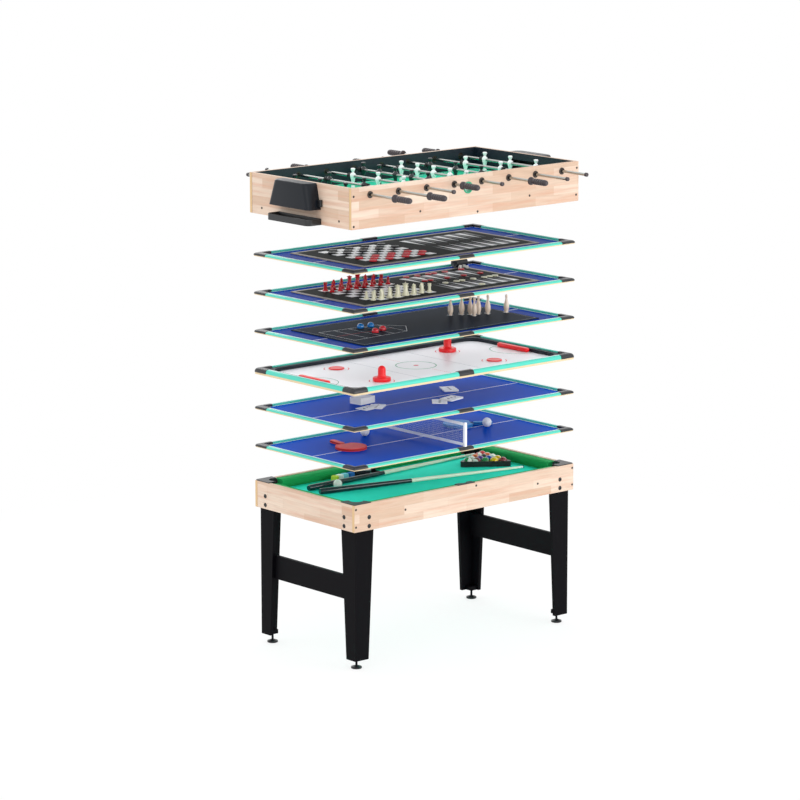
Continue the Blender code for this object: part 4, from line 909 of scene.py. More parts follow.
for name, (x, y, turn, colour) in CHALKS.items():
    chalk = moulded(f"{name}_chalk", colour, 0.95, grain=0.5, depth=0.1)
    half, wrap_top = CHALK_SIZE / 2, floor + CHALK_SIZE * CHALK_WRAP
    wrap = slab(rectangle(CHALK_SIZE, CHALK_SIZE), floor, wrap_top)
    cube = slab(rectangle(CHALK_SIZE - MM, CHALK_SIZE - MM), wrap_top, floor + CHALK_SIZE)
    spot = turned([(half * 0.55, CHALK_SIZE + HAIR), (half * 0.4, CHALK_SIZE + HAIR - CHALK_SPOT),
                   (0, CHALK_SIZE)], 20)
    parts = [(wrap, chalk), (cube, chalk), (moved(spot, 0, 0, floor), chalk)]
    piece(f"chalk_{name}", "base_table", placed(parts, x, y, turn=turn), bevel_mm=0.4)
print("brush and", len(CHALKS), "chalks")

# %% [markdown]
# Every game board is a thin melamine sheet in a rounded green moulding, with black caps over the
# corners and the middle of the long sides. A thin white strip along the crown of the moulding is a
# painted highlight, and the bare fibreboard edge of the board shows below the moulding, taller on the
# hockey board, which has a rail.
# One function makes all six.

# %% Board mouldings and caps
EDGING_WIDTH = 0.024
EDGING_HEIGHT = 0.009
TALL_EDGING = 0.021
EDGING_ROUND = 0.004
EDGING_INSET = 0.0015
EDGING_LAP = 0.0005
EDGE_UPRIGHT = 0.0025
RAIL_SHARE = 0.4
RAIL_WIDTH = 0.004
# Inner and outer depth of the white strip painted on the crown as a highlight; the first is also where the
# crown begins
CROWN_DEPTHS = (0.0135, 0.019)
CAP_LENGTH = 0.074
MID_CAP_LENGTH = 0.08
CAP_WIDTH = 0.027
CAP_SKIRT = 0.003
CAP_LAP = 0.5 * MM
CAP_CROWN, CAP_ROUND, CAP_CORNER = 0.0012, 2.5 * MM, 4 * MM
CAP_OVERLAP = 2 * MM
CORNER_SHARE = 0.99
NOSE_STEPS, ROUND_STEPS, CORNER_STEPS = 8, 5, 6
BOARD_THICKNESS = 0.005
INK_RISE = 0.25 * MM


def carried_run(profile, ends):
    """A profile of (depth, height) carried along the edge through points that each have an inward way."""
    return carried([[(x + inward[0] * depth, y + inward[1] * depth, height) for depth, height in profile]
                    for (x, y), inward in ends])


def quarter(steps):
    return [pi / 2 * i / steps for i in range(steps + 1)]


def bullnose(outer, foot, crown_depth, crown):
    """Points from the outer foot of an edge up a quarter round to its crown."""
    upright = foot + EDGE_UPRIGHT
    return [(outer, foot)] + [(crown_depth - (crown_depth - outer) * cos(a),
                               upright + (crown - upright) * sin(a)) for a in quarter(NOSE_STEPS)]


def inner_round(depth, crown, turn):
    """Points over the inner edge of a crown."""
    return [(depth - turn + turn * sin(a), crown - turn + turn * cos(a)) for a in quarter(ROUND_STEPS)]


def moulding_profile(floor_z, height, rail):
    """Green moulding from its outer foot, over the crown, to its inner foot."""
    crown = floor_z + height
    return [*bullnose(EDGING_INSET, floor_z + rail - EDGING_LAP, CROWN_DEPTHS[0], crown),
            *inner_round(EDGING_WIDTH, crown, EDGING_ROUND), (EDGING_WIDTH, floor_z)]


def cap_profile(floor_z, height, rail):
    """Cap that wraps the moulding, open below so the board's edge shows under it."""
    foot, crown = floor_z + rail - EDGING_LAP - CAP_LAP, floor_z + height + CAP_CROWN
    return [*bullnose(0.0, foot, CROWN_DEPTHS[0], crown), *inner_round(CAP_WIDTH, crown, CAP_ROUND),
            (CAP_WIDTH, floor_z), (CAP_SKIRT, floor_z), (CAP_SKIRT, foot)]


def corner_run(reach):
    """Points for a cap round the back right corner, whose sections all meet at the inner corner."""
    points = [((half_x - reach, half_y), (0, -1)), ((half_x - CAP_WIDTH, half_y), (0, -1))]
    for i in range(1, CORNER_STEPS):
        a = radians(90 - 90 * i / CORNER_STEPS)
        at = (half_x - CAP_CORNER + CAP_CORNER * cos(a), half_y - CAP_CORNER + CAP_CORNER * sin(a))
        inward = [(edge - CAP_WIDTH - place) * CORNER_SHARE / CAP_WIDTH
                  for edge, place in zip((half_x, half_y), at)]
        points.append((at, inward))
    return points + [((half_x, half_y - CAP_WIDTH), (-1, 0)), ((half_x, half_y - reach), (-1, 0))]


def dress_board(node, body, surface, height=EDGING_HEIGHT):
    """Panel, moulding and caps of one board. Returns the height of its playing surface."""
    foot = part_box(node)[0][2]
    floor_z = foot + BOARD_THICKNESS
    rail = (height - EDGING_HEIGHT) * RAIL_SHARE
    x, y = half_x - (CAP_SKIRT - CAP_LAP), half_y - (CAP_SKIRT - CAP_LAP)
    panel = block((-x, -y, foot + MM), (x, y, floor_z))
    reach_x, reach_y = x + HAIR, y + HAIR
    core = block((-reach_x, -reach_y, foot + HAIR), (reach_x, reach_y, floor_z - 2 * HAIR))
    back = block((-reach_x, -reach_y, foot), (reach_x, reach_y, foot + HAIR))
    parts = [(panel, surface), (core, FIBREBOARD), (back, BACKING)]
    if rail:
        hole = rectangle(2 * (reach_x - RAIL_WIDTH), 2 * (reach_y - RAIL_WIDTH))
        rail_strip = slab(rectangle(2 * reach_x, 2 * reach_y), floor_z - HAIR, floor_z + rail, [hole])
        parts.append((rail_strip, FIBREBOARD))
    piece(f"{node}_panel", body, parts, replaced=[node])

    profile = moulding_profile(floor_z, height, rail)
    spans = (MID_CAP_LENGTH / 2 - CAP_OVERLAP, half_x - CAP_LENGTH + CAP_OVERLAP)
    runs = [carried_run(profile, [((sx * x, sy * half_y), (0, -sy)) for x in spans])
            for sy in (-1, 1) for sx in (-1, 1)]
    reach_y = half_y - CAP_LENGTH + CAP_OVERLAP
    for sx in (-1, 1):
        runs.append(carried_run(profile, [((sx * half_x, y), (-sx, 0)) for y in (-reach_y, reach_y)]))
    parts = [(solid, GREEN_PVC) for solid in runs]
    crown = floor_z + height
    # Painted highlight: a thin white strip along the crown
    loops = [rectangle(2 * (half_x - depth), 2 * (half_y - depth)) for depth in CROWN_DEPTHS]
    parts.append((slab(loops[0], crown - HAIR, crown + INK_RISE, loops[1:]), CROWN_HIGHLIGHT))
    piece(f"{node}_moulding", body, parts)

    profile = cap_profile(floor_z, height, rail)
    caps = [flipped(carried_run(profile, corner_run(CAP_LENGTH)), sx, sy) for _, sx, sy in CORNERS]
    for sy in (-1, 1):
        ends = [((x, sy * half_y), (0, -sy)) for x in (-MID_CAP_LENGTH / 2, MID_CAP_LENGTH / 2)]
        caps.append(carried_run(profile, ends))
    piece(f"{node}_caps", body, [(cap, CAP_ABS) for cap in caps], bevel_mm=0.4)
    return floor_z


print("board helpers ready")

# %% [markdown]
# Five boards share one print: blue melamine, a shade deeper on the three boards that carry a loose
# panel, with a white border line and a white centre line, as on a table tennis table. The hockey
# sheet is white. Printed lines are screen ink, drawn as very thin strips on the sheet.

# %% Sheets and printed lines
BLUE_SHEET = moulded("blue_melamine", "004CBC", 0.2, grain=4.0, depth=0.006, gloss=0.003)
DEEP_BLUE = moulded("deep_blue_melamine", "00389C", 0.2, grain=4.0, depth=0.006, gloss=0.003)
WHITE_SHEET = moulded("white_melamine", "F6F8FF", 0.3, grain=4.0, depth=0.008)
SLATE = moulded("slate_melamine", "2A323E", 0.42, grain=3.0, depth=0.01, gloss=0.006)
GRAPHITE = moulded("graphite_melamine", "212524", 0.42, grain=3.0, depth=0.01, gloss=0.006)
PANEL_RIM = moulded("grey_brown_panel_rim", "8A8078", 0.45, grain=2.0)
WHITE_INK = moulded("white_screen_ink", "EDF1F6", 0.4)
GREY_INK = moulded("grey_screen_ink", "AEB7C0", 0.45)
GREEN_INK = moulded("green_screen_ink", "1E9E7A", 0.4)
RED_INK = moulded("red_screen_ink", "D93038", 0.4)
BLACK_INK = moulded("black_screen_ink", "16181B", 0.4)
BORDER_LINE = 0.006
CENTRE_LINE = 0.005


def printed(outline, floor_z, holes=(), rise=INK_RISE):
    """A patch of ink on a sheet."""
    return slab(outline, floor_z - HAIR, floor_z + rise, holes)


def strip(x0, y0, x1, y1, floor_z):
    (x0, x1), (y0, y1) = sorted((x0, x1)), sorted((y0, y1))
    return printed([(x0, y0), (x1, y0), (x1, y1), (x0, y1)], floor_z)


def frame_line(length, width, line, floor_z):
    """A printed border whose outside has the given size."""
    return printed(rectangle(length, width), floor_z, [rectangle(length - 2 * line, width - 2 * line)])


def curve_line(radius, first, last, line, centre, floor_z):
    """A printed arc or circle."""
    outer, inner = radius + line / 2, radius - line / 2
    if last - first == 360:
        return printed(circle(outer, centre, 48), floor_z, [circle(inner, centre, 48)])
    steps = max(8, int(abs(last - first) / 9))
    return printed(arc(outer, first, last, steps, centre) + arc(inner, last, first, steps, centre), floor_z)


def tennis_lines(node, body, floor_z):
    """White border and centre line, printed on the blue side of a sheet."""
    reach_x, reach_y = half_x - EDGING_WIDTH, half_y - EDGING_WIDTH
    parts = [(frame_line(2 * reach_x, 2 * reach_y, BORDER_LINE, floor_z), WHITE_INK),
             (strip(-reach_x, -CENTRE_LINE / 2, reach_x, CENTRE_LINE / 2, floor_z), WHITE_INK)]
    piece(f"{node}_lines", body, parts)


BOARDS = {"tennis_board": "tennis", "card_board": "card", "shuffleboard_board": "shuffleboard",
          "chess_board": "chess", "checkers_board": "checkers"}
sheet_top = {}
for node, body in BOARDS.items():
    blue = BLUE_SHEET if body in ("tennis", "card") else DEEP_BLUE
    sheet_top[node] = dress_board(node, body, blue)
    tennis_lines(node, body, sheet_top[node])
sheet_top["hockey_board"] = dress_board("hockey_board", "hockey", WHITE_SHEET, TALL_EDGING)
print("sheets at", [round(height, 4) for height in sheet_top.values()])

# %% [markdown]
# The table tennis set is a knotted net between two posts, two bats with rubber on both sides, and
# celluloid balls. The net has real openings, made by thinning a grid of faces into strings, so light
# passes through it.

# %% Table tennis net
POST_SIZE = 0.012
NET_TAPE = 0.012
TAPE_THICKNESS = 0.004
TAPE_INSET = 0.002
MESH_MM = 8.0
STRING_MM = 0.45

NET_WHITE = moulded("white_polyester_tape", "F2F4F8", 0.7, grain=0.6, depth=0.05)
NET_STRING = moulded("net_string", "DDE3EE", 0.8, grain=0.5, depth=0.05)
POST_PLASTIC = moulded("white_post_plastic", "E9ECF2", 0.35)

net_low, net_high = (Vector(corner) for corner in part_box("tennis_net"))
reach = net_high.y - POST_SIZE
tape_low, tape_high = net_low.z + TAPE_INSET, net_high.z - TAPE_INSET
parts = []
for sy in (-1, 1):
    low_y, high_y = sorted((sy * net_high.y, sy * reach))
    post = block((-POST_SIZE / 2, low_y, net_low.z), (POST_SIZE / 2, high_y, net_high.z))
    parts.append((post, POST_PLASTIC))
for low in (tape_low, tape_high - NET_TAPE):
    tape = block((-TAPE_THICKNESS / 2, -reach, low), (TAPE_THICKNESS / 2, reach, low + NET_TAPE))
    parts.append((tape, NET_WHITE))
piece("tennis_net_posts_and_tapes", "tennis", parts, bevel_mm=0.8, replaced=["tennis_net"])

grid = bmesh.new()
open_height = tape_high - tape_low - 2 * NET_TAPE
columns, rows = round(2 * reach / (MESH_MM * MM)), round(open_height / (MESH_MM * MM))
knots = [[grid.verts.new((0, -reach + 2 * reach * c / columns, tape_low + NET_TAPE + open_height * r / rows))
          for c in range(columns + 1)] for r in range(rows + 1)]
for r in range(rows):
    for c in range(columns):
        grid.faces.new((knots[r][c], knots[r][c + 1], knots[r + 1][c + 1], knots[r + 1][c]))
net = piece("tennis_net_strings", "tennis", [(grid, NET_STRING)], smooth=False)
strings = net.modifiers.new("strings", "WIREFRAME")
strings.thickness = STRING_MM * MM
print("net of", columns, "by", rows, "meshes")

# %% [markdown]
# A bat is a round blade with a sheet of rubber on each face and a rounded grip over its tang. Tape
# in a darker shade of the rubber's colour covers the edge of the blade between the sheets.

# %% Bats and table tennis balls
BAT_RADIUS = 0.066
BAT_THICKNESS = 0.011
HANDLE_LENGTH = 0.084
HANDLE_WIDTH = 0.024
HANDLE_ROUNDING = 0.007
RUBBER = 0.003
COVER_ARC, COVER_HALF = (32, 328), 0.022
PIMPLE_MM, PIMPLE_DEPTH, PIMPLE_TONE = 2.2, 0.2 * MM, (0.9, 1.05)
TENNIS_BALL = 0.02
BATS = (("red", -0.345, 0.014, 82.0, "F0302A", "A8141A"),
        ("blue", 0.305, 0.075, -28.0, "1E96E0", "0F6BB4"))
TENNIS_BALLS = ((-0.138, 0.169), (0.376, -0.03))

BALL_CELLULOID = moulded("celluloid_ball", "F7F7F3", 0.35, grain=2.0, depth=0.005)
top = sheet_top["tennis_board"] + SEAT


def pimpled(name, colour):
    """Rubber sheet with the round tops of its pimples showing as a fine relief."""
    material, tree, shader = new_material(name, colour, 0.5)
    point = object_point(tree)
    cells = add(tree, "TexVoronoi", {"Vector": point, "Scale": 1 / (PIMPLE_MM * MM), "Randomness": 0.1})
    emboss(tree, shader, cells.outputs["Distance"], PIMPLE_DEPTH, 0.25)
    noise = speckle(tree, point, 60.0)
    paint(tree, shader, shaded(tree, linear(colour), spread(tree, noise, PIMPLE_TONE)))
    return material


neck = degrees(asin(HANDLE_WIDTH / 2 / BAT_RADIUS))
blade = arc(BAT_RADIUS, neck, 360 - neck, 48)
shoulder, reach = BAT_RADIUS * 0.8, BAT_RADIUS + HANDLE_LENGTH
cover = arc(BAT_RADIUS - 0.5 * MM, *COVER_ARC, 44) + [(shoulder, -COVER_HALF), (shoulder, COVER_HALF)]
tang_start, tang_half = shoulder * 0.9, HANDLE_WIDTH / 2 - MM
tang = [(tang_start, -tang_half), (reach, -tang_half), (reach, tang_half), (tang_start, tang_half)]
grip = rounded_rectangle(HANDLE_LENGTH, HANDLE_WIDTH, HANDLE_ROUNDING, (BAT_RADIUS + HANDLE_LENGTH / 2, 0))
core_low, core_high, face_top = top + RUBBER, top + BAT_THICKNESS - RUBBER, top + BAT_THICKNESS
for name, x, y, turn, colour, edge_colour in BATS:
    rubber = pimpled(f"{name}_bat_rubber", colour)
    edge = moulded(f"{name}_edge_tape", edge_colour, 0.5)
    parts = [(slab(outline, core_low, core_high), edge) for outline in (blade, tang)]
    for outline in (cover, grip):
        parts += [(slab(outline, top, core_low), rubber), (slab(outline, core_high, face_top), rubber)]
    piece(f"{name}_bat", "tennis", placed(parts, x, y, turn=turn), bevel_mm=0.5, replaced=[f"{name}_paddle"])
for number, (x, y) in enumerate(TENNIS_BALLS, 1):
    place = (x, y, sheet_top["tennis_board"] + TENNIS_BALL)
    piece(f"table_tennis_ball_{number}", "tennis", ball(TENNIS_BALL, place, BALL_CELLULOID))
print("two bats, two balls")

# %% [markdown]
# The card set is a white tuck box, two short decks and three low piles, the top card of each being
# a generic number card pushed a little askew. A deck reads as a deck through its fine stack lines,
# so its side is banded by a wave at card thickness, drawn coarse.

# %% Playing cards
CARD_LENGTH = 0.088
CARD_WIDTH = 0.063
CARD_DECKS = ((0.255, 0.076, 62.0, 0.006), (0.127, -0.082, 12.0, 0.006), (0.052, -0.092, 48.0, 0.002),
              (-0.216, 0.000, 36.0, 0.003), (-0.262, 0.004, 8.0, 0.002))
CARD_BOX = (-0.205, 0.105, 8.0, 0.028)
CARD_MM, CARD_TONE = 0.9, (0.9, 1.0)
CARD_ROUNDING, BOX_ROUNDING = 0.004, 0.0015
ASKEW = (0.0015, 0.001, 0.0, 2.5)
PIP_SIZE = 0.007
PIPS = ((-0.022, 0.0, 90), (0.022, 0.0, -90), (0.0, 0.0, 90))
THUMB_NOTCH = 0.011
FLAP_LINE, FLAP_LINE_WIDTH = 0.006, 0.8 * MM


def stacked_paper(name, colour):
    material, tree, shader = new_material(name, colour, 0.5)
    layers = add(tree, "TexWave", {"Vector": object_point(tree), "Scale": 1 / (CARD_MM * MM) / pi},
                 wave_type="BANDS", bands_direction="Z")
    shade = spread(tree, layers.outputs["Fac"], CARD_TONE)
    paint(tree, shader, shaded(tree, linear(colour), shade))
    return material


CARD_STACK = stacked_paper("stacked_card_edges", "FDFBF6")
CARD_FACE = moulded("glazed_card_face", "FFFEF8", 0.35)
BOX_CARD = moulded("tuck_box_card", "FFFDF6", 0.5)
card_top = sheet_top["card_board"]


def pip(x, y, size, turn=0):
    """A spade-like leaf pip, as generic card decks have."""
    lobe = size * 0.45
    leaf = arc(size * 0.5, 200, 360, 6, (lobe, 0)) + [(0, size)] + arc(size * 0.5, 180, 340, 6, (-lobe, 0))
    stem = [(-size * 0.15, -size * 0.8), (size * 0.15, -size * 0.8), (size * 0.15, 0), (-size * 0.15, 0)]
    return [moved(slab(outline, 0, INK_RISE), x, y, turn=turn) for outline in (leaf, stem)]


card = rounded_rectangle(CARD_LENGTH, CARD_WIDTH, CARD_ROUNDING)
for number, (x, y, turn, height) in enumerate(CARD_DECKS, 1):
    stack_top, deck_top = card_top + height - MM, card_top + height
    parts = [(slab(card, card_top, stack_top), CARD_STACK),
             (moved(slab(card, stack_top, deck_top), *ASKEW), CARD_FACE)]
    for px, py, spin in PIPS:
        parts += [(moved(solid, z=deck_top), BLACK_INK) for solid in pip(px, py, PIP_SIZE, spin)]
    piece(f"card_deck_{number}", "card", placed(parts, x, y, turn=turn))
x, y, turn, height = CARD_BOX
box_top, half_card, flap_x = card_top + height, CARD_WIDTH / 2, CARD_LENGTH / 2 - FLAP_LINE
tuck = slab(rounded_rectangle(CARD_LENGTH, CARD_WIDTH, BOX_ROUNDING), card_top, box_top)
notch = arc(THUMB_NOTCH, 90, 270, 10, (CARD_LENGTH / 2 + 0.2 * MM, 0))
flap = slab(notch, card_top + height * 0.5, box_top + HAIR)
flap_line = strip(flap_x, -half_card, flap_x + FLAP_LINE_WIDTH, half_card, box_top)
parts = [(tuck, BOX_CARD), (flap, CARD_FACE), (flap_line, GREY_INK)]
piece("card_tuck_box", "card", placed(parts, x, y, turn=turn), bevel_mm=0.6)
print("five piles of cards and a box")

# %% [markdown]
# Slide hockey runs on the white sheet inside a black surround with rounded corners. Each striker is
# one moulding: a base ring, a cone and a rounded knob. The goals are raised red bars with round ends,
# and the print has a centre circle, two zone lines, goal arcs and a ring round each starting place.

# %% Hockey surround, goals, strikers and discs
SURROUND_WIDTH = 0.02
SURROUND_ROUNDING = 0.06
SURROUND_DROP = 0.006
GOAL_BAR = (0.026, 0.19, 0.018)
BAR_ROUND, BAR_BEVEL_MM = 0.48, 6.0
STRIKER_RADIUS, STRIKER_KNOB, STRIKER_HEIGHT, STRIKER_BASE = 0.0375, 0.017, 0.064, 0.017
DISC_RADIUS, DISC_HEIGHT = 0.033, 0.005
STRIKERS = ((-0.33, -0.165), (0.31, 0.15))
DISCS = ((-0.3, 0.16), (0.32, -0.135))

SURROUND_RUBBER = moulded("black_surround_pvc", "0E1826", 0.5, gloss=0.3)
RED_ABS = moulded("red_abs", "F4101C", 0.3, grain=1.2, depth=0.01)
ice = sheet_top["hockey_board"]
rim = ice + TALL_EDGING - SURROUND_DROP
outer = (2 * (half_x - EDGING_WIDTH), 2 * (half_y - EDGING_WIDTH))
inner = (outer[0] - 2 * SURROUND_WIDTH, outer[1] - 2 * SURROUND_WIDTH)
surround = slab(rectangle(*outer), ice, rim, [rounded_rectangle(*inner, SURROUND_ROUNDING, steps=10)])
piece("hockey_surround", "hockey", [(surround, SURROUND_RUBBER)], bevel_mm=0.8)

bars = []
for sx in (-1, 1):
    length, width, height = GOAL_BAR
    bar = slab(rounded_rectangle(length, width, length * BAR_ROUND, steps=8), ice, ice + height)
    bars.append((moved(bar, sx * (inner[0] / 2 - length / 2)), RED_ABS))
piece("hockey_goal_bars", "hockey", bars, bevel_mm=BAR_BEVEL_MM)

knob, radius, ring_top = STRIKER_KNOB, STRIKER_RADIUS, ice + STRIKER_BASE
striker = [(0, ice), (radius - 2 * MM, ice), (radius, ice + 2 * MM), (radius, ring_top - 4 * MM),
           (radius - 1.5 * MM, ring_top - 1.2 * MM), (radius - 5 * MM, ring_top), (knob + 4 * MM, ring_top),
           (knob + MM, ring_top + 3 * MM), (knob * 0.95, ring_top + 10 * MM),
           *round_profile(knob * 0.95, knob, 15, 6, z=ice + (STRIKER_HEIGHT - knob)),
           (0, ice + STRIKER_HEIGHT)]
radius, disc_top = DISC_RADIUS, ice + DISC_HEIGHT
disc = [(0, ice), (radius - MM, ice), (radius, ice + MM), (radius, disc_top - MM), (radius - MM, disc_top),
        (radius - 4 * MM, disc_top), (radius - 5 * MM, disc_top - 0.8 * MM), (0, disc_top - 0.8 * MM)]
for kind, profile, places in (("striker", striker, STRIKERS), ("disc", disc, DISCS)):
    for number, (x, y) in enumerate(places, 1):
        piece(f"hockey_{kind}_{number}", "hockey", [(moved(turned(profile, 40), x, y), RED_ABS)])

CENTRE_CIRCLE, CENTRE_SPOT = 0.085, 0.011
ZONE_LINE_X = 0.165
GOAL_ARC, GOAL_ARC_TRIM, GOAL_ARC_LINE = 0.11, 5, 0.003
FACE_OFF, FACE_OFF_STARTS, FACE_OFF_SWEEP = 0.052, (-65, 115), 50
RING_LINE = 0.004
DASH, DASH_STEP, DASH_START = 0.005, 0.012, 0.02
parts = [(curve_line(CENTRE_CIRCLE, 0, 360, RING_LINE, (0, 0), ice), GREEN_INK),
         (slab(circle(CENTRE_SPOT), ice, ice + INK_RISE), RED_INK)]
reach = inner[1] / 2
for x in (-ZONE_LINE_X, ZONE_LINE_X):
    parts.append((strip(x - MM, -reach, x + MM, reach, ice), GREY_INK))
place = CENTRE_CIRCLE + DASH_START
while place < reach:
    for sy in (-1, 1):
        parts.append((strip(-1.5 * MM, sy * place, 1.5 * MM, sy * (place + DASH), ice), RED_INK))
    place += DASH_STEP
for sx in (-1, 1):
    start = (90 if sx > 0 else -90) + GOAL_ARC_TRIM
    stop, centre = start + 180 - 2 * GOAL_ARC_TRIM, (sx * inner[0] / 2, 0)
    parts.append((curve_line(GOAL_ARC, start, stop, GOAL_ARC_LINE, centre, ice), GREEN_INK))
for centre in STRIKERS + DISCS:
    for first in FACE_OFF_STARTS:
        parts.append((curve_line(FACE_OFF, first, first + FACE_OFF_SWEEP, RING_LINE, centre, ice), RED_INK))
piece("hockey_printed_lines", "hockey", parts)
print("hockey rink", round(inner[0], 3), "by", round(inner[1], 3), "m")

# %% [markdown]
# The lane board carries ten turned wooden pins and four domed pucks. The lane is a thin dark sheet
# laid on the blue one. White marks under the pins show where to set them up, and a scoring grid that
# narrows to a point lies at the near end.

# %% Pins, pucks and lane
PIN_HEIGHT, PIN_RADIUS = 0.077, 0.0118
PIN_PLACES = ((0.244, 0.057), (0.291, 0.038), (0.32, 0.016), (0.352, 0.000), (0.386, -0.022),
              (0.471, -0.045), (0.311, -0.019), (0.311, 0.061), (0.372, 0.023), (0.406, 0.001))
PUCK_RADIUS, PUCK_HEIGHT = 0.0145, 0.02
PUCK_BAND = PUCK_HEIGHT * 0.35
PUCKS = {"blue": ((-0.24, 0.075), (-0.19, 0.068)), "red": ((-0.262, -0.045), (-0.205, -0.025))}
GRID_BOX = (-0.44, -0.125, -0.14, 0.105)
GRID_LINE, GRID_SQUEEZE, GRID_POINT = 1.6 * MM, 0.18, 0.075
LANE_SIZE = (0.966, 0.47)
LANE_RAISE, LANE_MARGIN = 0.004, 0.02
PIN_SPOT = 0.017

PIN_WOOD = close_grained("pale_turned_wood", "FFEEDC", "F6DCC6", (1, 1, 0.2), coat=0.5)
PUCK_RESINS = {"blue": phenolic("blue_puck_resin", "1683D8"), "red": phenolic("red_puck_resin", "D92433")}
lane = sheet_top["shuffleboard_board"] + LANE_RAISE
sheet = slab(rectangle(*LANE_SIZE), sheet_top["shuffleboard_board"] + SEAT / 2, lane)
piece("lane_sheet", "shuffleboard", [(sheet, SLATE)], bevel_mm=0.5)

# The pin's shares of its full radius and of its height, from the foot up
PIN_SHAPE = ((0, 0), (0.46, 0), (0.52, 0.02), (0.78, 0.12), (0.95, 0.22), (1, 0.32), (0.93, 0.44),
             (0.72, 0.56), (0.47, 0.68), (0.36, 0.75), (0.38, 0.82), (0.47, 0.89), (0.45, 0.95),
             (0.28, 0.985), (0, 1))
profile = [(share * PIN_RADIUS, height * PIN_HEIGHT) for share, height in PIN_SHAPE]
pins, marks = [], []
for x, y in PIN_PLACES:
    pins.append((moved(turned(profile, 28), x, y, lane), PIN_WOOD))
    marks.append((printed(circle(PIN_SPOT, (x, y), 3), lane), WHITE_INK))
piece("bowling_pins", "shuffleboard", pins)

puck = [(0, 0), (PUCK_RADIUS * 0.9, 0), (PUCK_RADIUS, MM),
        *round_profile(PUCK_RADIUS, PUCK_HEIGHT - PUCK_BAND, 15, 6, z=PUCK_BAND), (0, PUCK_HEIGHT)]
for colour, places in PUCKS.items():
    for number, (x, y) in enumerate(places, 1):
        solid = moved(turned(puck, 36), x, y, lane)
        piece(f"{colour}_puck_{number}", "shuffleboard", [(solid, PUCK_RESINS[colour])])

x0, y0, x1, y1 = GRID_BOX
grid_y, grid_width = (y0 + y1) / 2, y1 - y0
for share in (0, 0.25, 0.5, 0.75, 1):
    x, half = x0 + (x1 - x0) * share, grid_width / 2 * (1 - GRID_SQUEEZE * share)
    marks.append((strip(x - GRID_LINE / 2, grid_y - half, x + GRID_LINE / 2, grid_y + half, lane), WHITE_INK))


def slanted(start, stop, half, rise=INK_RISE):
    """A printed line between two points, with its half width across the board."""
    (x0, y0), (x1, y1) = start, stop
    return printed([(x0, y0 - half), (x1, y1 - half), (x1, y1 + half), (x0, y0 + half)], lane, rise=rise)


for share in (-0.5, 0, 0.5):
    start, stop = grid_y + share * grid_width, grid_y + share * grid_width * (1 - GRID_SQUEEZE)
    line = slanted((x0, start), (x1, stop), GRID_LINE / 2)
    marks.append((line, WHITE_INK if share else RED_INK))
for sy in (-1, 1):
    start = grid_y + sy * grid_width / 2 * (1 - GRID_SQUEEZE)
    line = slanted((x1, start), (x1 + GRID_POINT, grid_y), GRID_LINE, rise=INK_RISE * 0.8)
    marks.append((line, WHITE_INK))
marks.append((frame_line(LANE_SIZE[0] - LANE_MARGIN, LANE_SIZE[1] - LANE_MARGIN, MM, lane), GREY_INK))
piece("lane_marks", "shuffleboard", marks)
print("ten pins, four pucks")

# %% [markdown]
# The chess side has red and cream plastic men in the usual shapes, on a dark panel with a
# grey-brown rim. A backgammon field with white and grey points takes up the other half, with small
# counters on it. The panel is a loose insert on the blue sheet.

# %% Chess and backgammon panel
CHESS_SQUARE = 0.0435
CHESS_X = -0.212
POINTS_X, POINTS_LENGTH, POINTS_Y = 0.055, 0.375, 0.17
PANEL_BORDER = 0.016
PANEL_THICKNESS = 0.004
PEAK_SHARE = 0.12
PANEL_SIZE = (0.966, 0.47)
BOARD_SQUARES, POINTS = 8, 12

CHESS_RED = moulded("red_chess_plastic", "C8101E", 0.24, grain=2.0, depth=0.01, coat=0.2)
CHESS_CREAM = moulded("cream_chess_plastic", "EAE7CC", 0.3, grain=2.0, depth=0.01)
COUNTER_RED = moulded("red_counter_plastic", "C42A33", 0.3, grain=2.0, depth=0.01)
COUNTER_CREAM = moulded("cream_counter_plastic", "EAE7CC", 0.3, grain=2.0, depth=0.01)
BLACK_SQUARE = moulded("black_square_ink", "0D0F14", 0.45, gloss=0.01)
WHITE_SQUARE = moulded("white_square_ink", "F1F3F5", 0.35)
GREY_POINT = moulded("grey_point_ink", "63676A", 0.4, gloss=0.1)


def laid_panel(name, body, board):
    """Loose game panel: a dark field in a grey-brown rim. Returns the height of its face."""
    low, high = sheet_top[board] + SEAT / 2, sheet_top[board] + PANEL_THICKNESS
    length, width = (side - 2 * PANEL_BORDER for side in PANEL_SIZE)
    field = slab(rectangle(length, width), low, high)
    frame_part = slab(rectangle(*PANEL_SIZE), low, high - HAIR, [rectangle(length + HAIR, width + HAIR)])
    piece(name, body, [(field, GRAPHITE), (frame_part, PANEL_RIM)], bevel_mm=0.4)
    return high


def square_at(row, column):
    return CHESS_X + (column - 3.5) * CHESS_SQUARE, (row - 3.5) * CHESS_SQUARE


def squares(floor_z):
    """Chequered field of eight by eight, black first at the near left corner."""
    return [(printed(rectangle(CHESS_SQUARE, CHESS_SQUARE, square_at(row, column)), floor_z),
             WHITE_SQUARE if (row + column) % 2 else BLACK_SQUARE)
            for row in range(BOARD_SQUARES) for column in range(BOARD_SQUARES)]


def points(floor_z):
    """Backgammon field: twelve long points on each side between two border lines."""
    parts = []
    for side in (-1, 1):
        base, peak = side * POINTS_Y, side * POINTS_Y * PEAK_SHARE
        for number in range(POINTS):
            x = POINTS_X + number * step_x
            ink = WHITE_SQUARE if (number + (side > 0)) % 2 else GREY_POINT
            parts.append((printed([(x, base), (x + step_x, base), (x + step_x / 2, peak)], floor_z), ink))
        border = strip(POINTS_X, base - MM, POINTS_X + POINTS_LENGTH, base + MM, floor_z)
        parts.append((border, GREY_INK))
    return parts


step_x = POINTS_LENGTH / POINTS
chess_floor = laid_panel("chess_panel", "chess", "chess_board")
piece("chess_and_backgammon_print", "chess", squares(chess_floor) + points(chess_floor))
print("chess panel at", round(chess_floor, 4))

